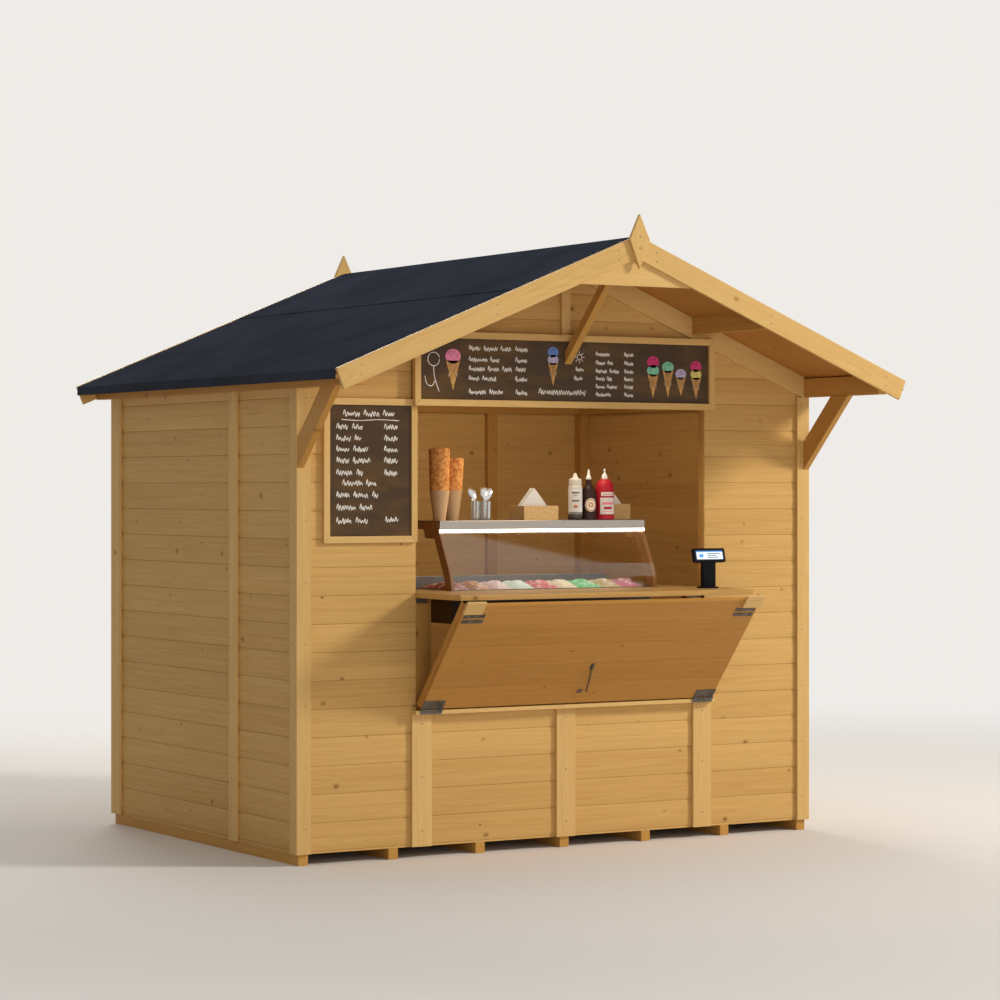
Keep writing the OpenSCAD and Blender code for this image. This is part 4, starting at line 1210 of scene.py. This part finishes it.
finishes["case_glass"] = see_through("case_pane", "e4e2de", 0.05, 0.036, 0.42, 1.0)
finishes["clear_glass"] = see_through("tumbler_glass", "dfe4e4", 0.05, 0.12, 0.9, 0.0)
diffuser = Finish("light_diffuser", Roughness=0.5, Base_Color=(0.9, 0.9, 0.9), Emission_Strength=6.0)
ribs = (diffuser.split(diffuser.place)[0] * 900.0).wave() * 0.5 + 0.5
diffuser.set(Emission_Color=diffuser.mix("fff6e4", "fffdf8", ribs))
finishes["lamp_cover"] = diffuser.data

LEG_LEAN = math.radians(27.5)
leg_sin, leg_cos = math.sin(LEG_LEAN), math.cos(LEG_LEAN)
leg_axes = [(0, leg_sin, leg_cos), (0, leg_cos, -leg_sin), (1, 0, 0)]
# The well is the same stainless steel as the top, in a darker copy: painted shade inside the well.
well_steel = metal("well_steel", "77726c", "544f4a", 0.5, (4, 300, 300), 0.2)
dress("case_side_frames", "case_wood", bevel=0.0022, axes=leg_axes)
dress("case_glass", "case_glass", bevel=0)
dress("case_top", "stainless", bevel=0.0010)
dress("case_light", "lamp_cover", bevel=0.0008)
dress("case_well", "stainless", bevel=0.0012, finish=well_steel)
print("case finished")

# %% [markdown]
# ## Ice cream
# Nine steel pans sit in the well, each heaped with one flavour. A heap is a
# height over the pan: it climbs to a crest before the middle, drops at the
# pan's sides, and carries the long ridges that a spatula leaves, all from a
# formula with its own random phase for each pan.

# %% Heaps of ice cream
FLAVOURS = ["a5522f", "cb8a4c", "f0d2cc", "dcecd8", "d9615f", "f1dfb4", "72d487", "cdb069", "d96a80"]
RISE_AT, RISE = [0.0, 0.10, 0.30, 0.55, 0.85, 1.0], [0.004, 0.022, 0.040, 0.030, 0.014, 0.002]
HEAP_TOP, HEAP_FOOT, ACROSS, DEEP_ROWS = 0.0395, 0.030, 22, 64
PAN_GAP, HEAP_IN = 0.001, 0.004
counter_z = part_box("counter_shelf")[1].z
pans_low, pans_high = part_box("ice_cream_pans")
pan_w = (pans_high.x - pans_low.x + 2 * PAN_GAP) / len(FLAVOURS)


def painted(mesh, colour, name="ink"):
    """Stores one colour, or the colour that a function gives for each point."""
    store(mesh, name, [colour(v.co) if callable(colour) else colour for v in mesh.vertices])
    return mesh


def heap(x0, x1, seed):
    pick = random.Random(seed)
    phase, twist, lean_x = pick.uniform(0, 6.28), pick.uniform(14, 30), pick.uniform(-0.25, 0.25)
    u, v = np.meshgrid(np.linspace(0, 1, ACROSS), np.linspace(0, 1, DEEP_ROWS))
    s = 2 * u - 1
    crest = np.interp(v, RISE_AT, RISE) * (1 - 1.25 * np.abs(s - lean_x * 0.3) ** 2.0)
    sweep = np.sin(v * twist + 2.6 * s + 1.3 * np.sin(5 * v + phase) + phase)
    lumps = np.sin(9 * s + 23 * v + phase) * np.sin(31 * v - 6 * s)
    rough = np.array([[pick.uniform(-1, 1) for _ in range(ACROSS)] for _ in range(DEEP_ROWS)])
    fall = np.clip((1 - np.abs(s)) * 9, 0, 1) ** 0.5 * np.clip(np.minimum(v, 1 - v) * 22, 0, 1) ** 0.5
    ridges = 0.0040 * sweep * np.abs(sweep) ** 0.4 + 0.0016 * lumps + 0.0006 * rough
    z = crest + ridges * fall - 0.006 * (1 - fall)
    x = x0 + (x1 - x0) * u
    y = pans_low.y + HEAP_IN + (pans_high.y - pans_low.y - 2 * HEAP_IN) * v
    return shell(*(np.stack([x, y, counter_z + rise], -1)
                   for rise in (np.minimum(z, HEAP_TOP), 0 * z - HEAP_FOOT)))


# %% Pans
RIM_IN, RIM_T, WALL_T, RIM_TOP, RIM_LOW, PAN_FOOT = 0.0008, 0.0030, 0.0012, 0.0015, 0.002, 0.115


def box_loop(x0, x1, y0, y1, z, inset=0.0):
    return [(x0 + inset, y0 + inset, z), (x1 - inset, y0 + inset, z),
            (x1 - inset, y1 - inset, z), (x0 + inset, y1 - inset, z)]


heaps, rims = [], []
for i, flavour in enumerate(FLAVOURS):
    x0 = pans_low.x - PAN_GAP + pan_w * i
    x1 = x0 + pan_w
    heaps.append(painted(heap(x0 + HEAP_IN, x1 - HEAP_IN, 40 + i), linear(flavour), "flavour"))
    for thick, foot, top in ((RIM_T, -RIM_LOW, RIM_TOP), (WALL_T, -PAN_FOOT, -RIM_LOW)):
        section = ((0, foot), (0, top), (thick, top), (thick, foot))
        rims.append(loops([box_loop(x0 + RIM_IN, x1 - RIM_IN, pans_low.y, pans_high.y, counter_z + z, inset)
                           for inset, z in section], closed=True))
print(len(heaps), "heaps of ice cream")

# %% Ice cream finish and the well's lip with a painted highlight
cream = Finish("ice_cream", Specular_IOR_Level=0.45, Subsurface_Weight=0.15, Subsurface_Scale=0.004)
flavour = cream.attribute("flavour", "Color")
swirl = cream.noise(cream.place, (60, 22, 60), 3.0, 0.6)
fleck = cream.node("ShaderNodeTexVoronoi", None, {"Vector": cream.place, "Scale": 210.0})
speck = cream.step(fleck, 0.22, 0.10) * cream.step(cream.noise(cream.place, 26.0), 0.5, 0.62)
colour = cream.mix(flavour, cream.mix(flavour, (1.0, 0.97, 0.92), 0.6), cream.step(swirl, 0.46, 0.68))
cream.set(Base_Color=cream.mix(colour, "7a3c2a", speck * 0.35), Roughness=0.42 + swirl * 0.2,
          Normal=cream.bump(cream.noise(cream.place, 260.0, 4.0, 0.65), 0.0012, 0.6))
settle("ice_cream_heaps", joined(heaps), "ice_cream", replaces=["ice_cream_pans"],
       finish=cream.data, crease=60)
settle("pan_rims", joined(rims), "stainless")

# The lip is the well's steel painted lighter: a painted highlight along the top edge of the well.
LIP_H, LIP_T, PROUD = 0.009, 0.0092, 0.0006
low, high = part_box("case_well")
lip = solid([rectangle(low.x, high.x, high.z - LIP_H, high.z + PROUD)], high.y - LIP_T, high.y + PROUD)
settle("well_lip", board_mesh(lip, 0.0008), "stainless",
       finish=metal("bright_lip", "e2deda", "c4bfb9", 0.38, BRUSHED, 0.1))
print("well lip", round(high.x - low.x, 3), "m long")

# %% [markdown]
# ## Waffle cones
# The cones are nested in two tall stacks, their feet in clear sleeves. The
# outer cone is a sheet rolled with an overlap, so its rim steps down where the
# sheet ends, and the rims of the cones inside show over it.

# %% Rolled cones
top_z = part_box("case_top")[1].z
goods_y = front_y + 0.300
STACKS = [(-0.500, goods_y, 0.028, 0.046, 0.051, 0.337),
          (-0.397, goods_y + 0.060, 0.030, 0.047, 0.054, 0.290)]
SLEEVE_H, SLEEVE_T, SHEET, NESTED, NEST_GAP, STUB = 0.139, 0.0006, 0.0024, 4, 0.0046, 0.085


def revolved(profile, place, closed=False):
    """Turns a profile of radius and height around an upright axis."""
    return loops([circle(max(r, 1e-5), z, place) for r, z in profile], closed)


def rolled(n, k):
    """Cone k of stack n. Its rim is a wavy slope, lower for each cone further in."""
    x, y, foot_r, sleeve_r, rim_r, tall = STACKS[n]
    low, turns = (tall - STUB, 1.05) if k else (0.0, 1.16)
    a = np.linspace(0, 2 * math.pi * turns, int(46 * turns))
    slope = 0.5 - 0.5 * np.cos(a + 0.6 * k)
    rim = tall - 0.001 - 0.005 * k - 0.024 * slope + 0.0014 * np.sin(9 * a + k)
    z = low + (rim - low) * np.linspace(0, 1, 34)[:, None]
    r = np.interp(z, [0, SLEEVE_H, tall], [foot_r, sleeve_r, rim_r]) - 0.0022 - NEST_GAP * k
    r = r + 0.0016 * (a / (2 * math.pi))
    a = a + math.radians(-120) + 0.5 * n + 0.9 * k
    mesh = shell(*(np.stack([x + (r - inset) * np.cos(a), y + (r - inset) * np.sin(a), top_z + z], -1)
                   for inset in (0.0, SHEET)))
    store(mesh, "wrap", [(math.atan2(v.co.y - y, v.co.x - x) * 0.045, v.co.z, 0) for v in mesh.vertices])
    return mesh


cones = [rolled(n, k) for n in range(len(STACKS)) for k in range(NESTED)]
sleeves = []
for x, y, foot_r, sleeve_r, _, _ in STACKS:
    line = [(foot_r, 0), ((foot_r + sleeve_r) / 2 + 0.0003, SLEEVE_H / 2), (sleeve_r + 0.0006, SLEEVE_H)]
    line += [(r - SLEEVE_T, z) for r, z in reversed(line)]
    sleeves.append(revolved(line, (x, y, top_z + 0.0002), closed=True))
print(len(cones), "rolled cones in two stacks")

# %% Waffle finish
waffle = Finish("baked_waffle", Roughness=0.62, Specular_IOR_Level=0.3)
across, up, _ = waffle.split(waffle.attribute("wrap"))
net = abs(((across + up) * 330.0).wave()).least(abs(((across - up) * 330.0).wave()))
ridge_line = waffle.step(net, 0.45, 0.05)
baked = waffle.noise(waffle.place, 62.0, 3.0, 0.6)
colour = waffle.mix("efa552", "c2661c", waffle.step(baked, 0.42, 0.62))
waffle.set(Base_Color=waffle.mix(colour, "f6c585", ridge_line * 0.5),
           Normal=waffle.bump(ridge_line + baked * 0.3, 0.0016, 0.7))
settle("rolled_cones", joined(cones), "waffle", replaces=["waffle_cones"], finish=waffle.data, crease=50)
settle("cone_sleeves", joined(sleeves), "clear_glass",
       finish=see_through("clear_sleeve", "e8c08c", 0.35, 0.58, 0.3, 0.0))
print("cones and", len(sleeves), "sleeves finished")

# %% [markdown]
# ## Spoons in their glasses
# A spoon is a thin skin too: an oval dish on a flat tapering stem. Its polished
# steel mirrors the pale studio and the dark hatch, which is what makes it read
# as a spoon at this size.

# %% Glasses and spoons
GLASSES = [(-0.310, 0.018), (-0.257, 0.027)]
SPOONS = [(-0.313, 0.0, -25.0), (-0.266, -0.009, -3.0), (-0.248, 0.009, 24.0)]
BOWL_L, BOWL_W, BOWL_DEEP, SPOON_T = 0.0320, 0.0200, 0.0065, 0.0011
STEM = [(0.0022, 0.009), (0.0034, 0.060), (0.0026, 0.099)]
tumblers = [revolved([(0, 0), (r - 0.003, 0), (r - 0.0015, 0.002), (r, 0.087), (r - 0.0006, 0.088),
                      (r - 0.0018, 0.0872), (r - 0.0038, 0.010), (r - 0.007, 0.008), (0, 0.0085)],
                     (x, goods_y, top_z)) for x, r in GLASSES]
settle("tumblers", joined(tumblers), "clear_glass", replaces=["spoon_glasses"])


def dish():
    """An oval bowl, a little narrower towards its tip."""
    a = np.linspace(0, 2 * math.pi, 33)[:-1]
    t = np.linspace(0.02, 1, 9)[:, None]
    x = BOWL_W * t * np.sin(a) * (1 + 0.12 * np.cos(a))
    y = BOWL_DEEP * (1 - t ** 2) + 0 * a
    z = BOWL_L * t * np.cos(a)
    return shell(np.stack([x * 0.985, y - SPOON_T / 2, z * 0.985], -1),
                 np.stack([x, y + SPOON_T / 2, z], -1), wrap=True)


spoons = []
for x, dy, turn in SPOONS:
    y, bowl = goods_y + dy, dish()
    bowl.transform(Matrix.Translation((x, y, top_z + 0.094)) @ Matrix.Rotation(math.radians(turn), 4, "Y")
                   @ Matrix.Translation((0, -0.002, 0.0300)))
    right, left = ([(x + s * w, top_z + z) for w, z in STEM] for s in (1, -1))
    spoons += [bowl, solid([right + left[::-1]], y - SPOON_T, y + SPOON_T)]
shine = metal("polished_spoons", "dcdcda", "b5b4b2", 0.12, (200, 200, 200), 0.1)
settle("dished_spoons", joined(spoons), "stainless", replaces=["spoons"], finish=shine, crease=35)
print(len(SPOONS), "spoons in", len(GLASSES), "glasses")

# %% [markdown]
# ## Napkins and bottles
# The napkin boxes are open card trays, and the napkins are thirteen folded
# leaves, each a little off its neighbour. The bottles are revolved; their
# colours and plain printed labels are stored on the points, so one plastic
# finish serves all of them, and no label carries a word.

# %% Napkin boxes
CARD, BOX_DEEP, LEAVES, LEAF_STEP, LEAF_T = 0.003, 0.134, 13, 0.0030, 0.0022
BOXES = [(-0.082, goods_y - 0.064, 0.188, 0.066, 0.004, 0.082, 0.152),
         (0.430, goods_y + 0.005, 0.126, 0.073, 0.496, 0.052, 0.124)]
trays, leaves = [], []
for x, y, wide, tall, peak_x, half, peak in BOXES:
    section = ((0, 0), (0, tall), (CARD, tall), (CARD, CARD))
    tray = loops([box_loop(x, x + wide, y, y + BOX_DEEP, top_z + z, inset) for inset, z in section])
    trays.append(board_mesh(tray, 0.0011))
    for n in range(LEAVES):
        middle, dz = peak_x + chance.uniform(-0.0015, 0.0015), chance.uniform(-0.002, 0.0005)
        left, right, shoulder = middle - half + 0.001, middle + half - 0.001, top_z + tall - 0.012 + dz
        outline = [(left, top_z + 0.006), (right, top_z + 0.006), (right, shoulder),
                   (middle, top_z + peak - 0.002 + dz), (left, shoulder)]
        leaf_y = y + BOX_DEEP / 2 - 0.019 + LEAF_STEP * n
        leaves.append(board_mesh(solid([outline], leaf_y, leaf_y + LEAF_T), 0.0007))
kraft = Finish("kraft_card", Roughness=0.85, Specular_IOR_Level=0.2)
fibres = kraft.noise(kraft.place, (90, 90, 420), 4.0, 0.7)
kraft.set(Base_Color=kraft.mix("d8b47c", "b48d59", kraft.step(fibres, 0.35, 0.75)),
          Normal=kraft.bump(fibres, 0.0004, 0.35))
tissue = Finish("napkin_tissue", Roughness=0.95, Specular_IOR_Level=0.1, Subsurface_Weight=0.05,
                Subsurface_Scale=0.003)
emboss = tissue.noise(tissue.place, 330.0, 3.0, 0.6)
tissue.set(Base_Color=tissue.mix("dcd8d2", "c6c0b8", tissue.step(emboss, 0.4, 0.8)),
           Normal=tissue.bump(emboss, 0.0006, 0.4))
settle("card_trays", joined(trays), "kraft_card", replaces=["napkin_boxes"], finish=kraft.data)
settle("folded_napkins", joined(leaves), "kraft_card", finish=tissue.data)
print(len(leaves), "napkins in", len(trays), "boxes")

# %% Bottle shapes and prints
WHITE, OFF_WHITE, COCOA, RED = (linear(ink) for ink in ("dcd8d0", "cfc8bb", "2c130b", "ac1526"))
GREY, AMBER, PINK, CREAM = (linear(ink) for ink in ("6d665d", "c0713a", "e58a98", "e9dcc3"))
FRONT_TURN, LABEL_T = math.radians(-118), 0.0004
bottle_y = goods_y - 0.050


def rounded(r, shoulder, rise, neck, steps=9):
    """Foot, straight side and a shoulder that rounds in to the neck."""
    curve = [(0, 0), (r - 0.004, 0), (r - 0.001, 0.0015), (r, 0.005), (r, shoulder)]
    for a in (math.pi / 2 * i / steps for i in range(1, steps + 1)):
        curve.append((neck + (r - neck) * math.cos(a), shoulder + rise * math.sin(a)))
    return curve


def turned(x, colour, profile):
    """One revolved part of the bottle that stands at x."""
    return painted(revolved(profile, (x, bottle_y, top_z)), colour)


def label(x, r, z0, z1, swing, arc, ink):
    """A sheet around the front of a bottle. ink(u, v) gives its print."""
    facing = FRONT_TURN + swing
    a = facing + np.linspace(-arc / 2, arc / 2, 40)
    z = np.linspace(z0, z1, 44)[:, None] + 0 * a
    grids = []
    for radius in (r + LABEL_T + 0 * z, r - LABEL_T + 0 * z):
        grids.append(np.stack([x + radius * np.cos(a), bottle_y + radius * np.sin(a), top_z + z], -1))
    mesh = shell(*grids)

    def colour(p):
        turn = math.atan2(p.y - bottle_y, p.x - x)
        return ink((turn - facing) / arc + 0.5, (p.z - top_z - z0) / (z1 - z0))
    return painted(mesh, colour)


def bars(*rows):
    """Plain bars of ink on white: each row is (low, high, left, right, colour)."""
    def ink(u, v):
        for low, high, left, right, tint in rows:
            if low <= v <= high and left <= u <= right:
                return tint
        return WHITE
    return ink


def emblem(u, v):
    """Two rings on a round cream ground."""
    d = math.hypot((u - 0.5) * 1.15, v - 0.5)
    if d > 0.46:
        return COCOA
    return AMBER if 0.36 < d < 0.41 or 0.10 < d < 0.17 else CREAM


# %% Bottles
CANISTER, SAUCE, KETCHUP = 0.208, 0.283, 0.373
canister_lid = [(0.031, 0.164), (0.031, 0.186), (0.029, 0.192), (0.014, 0.196), (0.010, 0.206),
                (0.006, 0.219), (0, 0.220)]
sauce_spout = [(0, 0.190), (0.0135, 0.190), (0.0135, 0.200), (0.008, 0.206), (0.0045, 0.232),
               (0.003, 0.237), (0, 0.2375)]
ketchup_spout = [(0, 0.190), (0.0145, 0.190), (0.0150, 0.196), (0.0140, 0.206), (0.0095, 0.214),
                 (0.0050, 0.218), (0.0042, 0.238), (0.002, 0.240), (0, 0.240)]


def two_tone(p):
    """Off-white, with a brown foot."""
    return OFF_WHITE if p.z > top_z + 0.024 else COCOA


parts = [
    turned(CANISTER, two_tone, rounded(0.034, 0.150, 0.010, 0.030) + canister_lid),
    label(CANISTER, 0.034, 0.030, 0.146, 0.0, 2.6, bars(
        (0.80, 0.88, 0.30, 0.70, GREY), (0.70, 0.74, 0.36, 0.64, GREY), (0.48, 0.55, 0.30, 0.70, GREY),
        (0.22, 0.34, 0.40, 0.60, AMBER), (0.0, 0.05, 0.0, 1.0, GREY))),
    turned(SAUCE, COCOA, rounded(0.036, 0.098, 0.064, 0.0145) + [(0.0140, 0.175), (0.0125, 0.196)]),
    turned(SAUCE, WHITE, sauce_spout),
    label(SAUCE, 0.036, 0.036, 0.104, 0.25, 2.0, emblem),
    turned(KETCHUP, RED, rounded(0.046, 0.132, 0.060, 0.0135) + [(0.0130, 0.196)]),
    turned(KETCHUP, WHITE, ketchup_spout),
    label(KETCHUP, 0.046, 0.026, 0.104, 0.30, 1.7, bars(
        (0.58, 0.74, 0.14, 0.86, PINK), (0.30, 0.46, 0.24, 0.76, RED), (0.12, 0.18, 0.2, 0.8, PINK))),
    label(KETCHUP, 0.0458, 0.112, 0.130, 0.30, 1.5, bars((0.3, 0.55, 0.1, 0.9, PINK))),
]
plastic = Finish("sauce_plastic", Specular_IOR_Level=0.2)
scuffs = plastic.noise(plastic.place, (220, 220, 60), 3.0, 0.6)
ink = plastic.attribute("ink", "Color")
plastic.set(Base_Color=plastic.mix(ink, plastic.mix(ink, (1, 1, 1), 0.015), scuffs),
            Roughness=0.30 + scuffs * 0.18, Normal=plastic.bump(scuffs, 0.0003, 0.2))
settle("bottles", joined(parts), "bottle_plastic", replaces=["sauce_bottles"],
       finish=plastic.data, crease=40)
print(len(parts), "parts in three bottles")

# %% [markdown]
# ## Card terminal
# A black reader on a column. Its screen is a thin plate with a plain lit
# picture of blocks and bars, which is all that can be read at this distance.

# %% Terminal
grip = Finish("black_plastic", Specular_IOR_Level=0.08)
pebble = grip.noise(grip.place, 900.0, 2.0)
grip.set(Base_Color=grip.mix("0c0c0e", "18181b", grip.noise(grip.place, 12.0)),
         Roughness=0.42 + pebble * 0.2, Normal=grip.bump(pebble, 0.0003, 0.5))
finishes["black_plastic"] = grip.data
dress("card_terminal", "black_plastic", bevel=0.0018)

SCREEN_W, SCREEN_H, SCREEN_RIM = 0.160, 0.048, 0.009
SKY, INK, PAPER = (linear(ink) for ink in ("4f8fd6", "1c2531", "dbe8f4"))
LINES = ((0.64, 0.86), (0.46, 0.74), (0.28, 0.80))
u, v = np.meshgrid(np.linspace(0, 1, 64), np.linspace(0, 1, 28))
x, z = (u - 0.5) * SCREEN_W, SCREEN_RIM + v * SCREEN_H
screen = shell(*(np.stack([x, 0 * u + y, z], -1) for y in (-0.0010, 0.0004)))


def picture(p):
    """A frame, a title bar, a block on paper and three lines."""
    u, v = p.x / SCREEN_W + 0.5, (p.z - SCREEN_RIM) / SCREEN_H
    if min(u, 1 - u) < 0.035 or min(v, 1 - v) < 0.08:
        return INK
    if v > 0.80 or (abs(u - 0.21) < 0.07 and abs(v - 0.45) < 0.17):
        return SKY
    if u > 0.42 and any(abs(v - row) < 0.045 and u < end for row, end in LINES):
        return INK
    return PAPER


painted(screen, picture)
low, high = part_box("card_terminal")
screen.transform(Matrix.Translation(((low.x + high.x) / 2, front_y - 0.169, counter_z + 0.122))
                 @ Matrix.Rotation(math.radians(-14), 4, "X"))
lit = Finish("lit_screen", Roughness=0.12, Specular_IOR_Level=0.5, Emission_Strength=0.55)
shown = lit.attribute("ink", "Color")
lit.set(Base_Color=lit.mix(shown, lit.mix(shown, (0, 0, 0), 0.3), lit.noise(lit.place, 1600.0, 1.0)),
        Emission_Color=shown)
settle("terminal_screen", screen, "black_plastic", finish=lit.data)
print("terminal lit")

# %% Bring the scene up to date
bpy.context.view_layer.update()
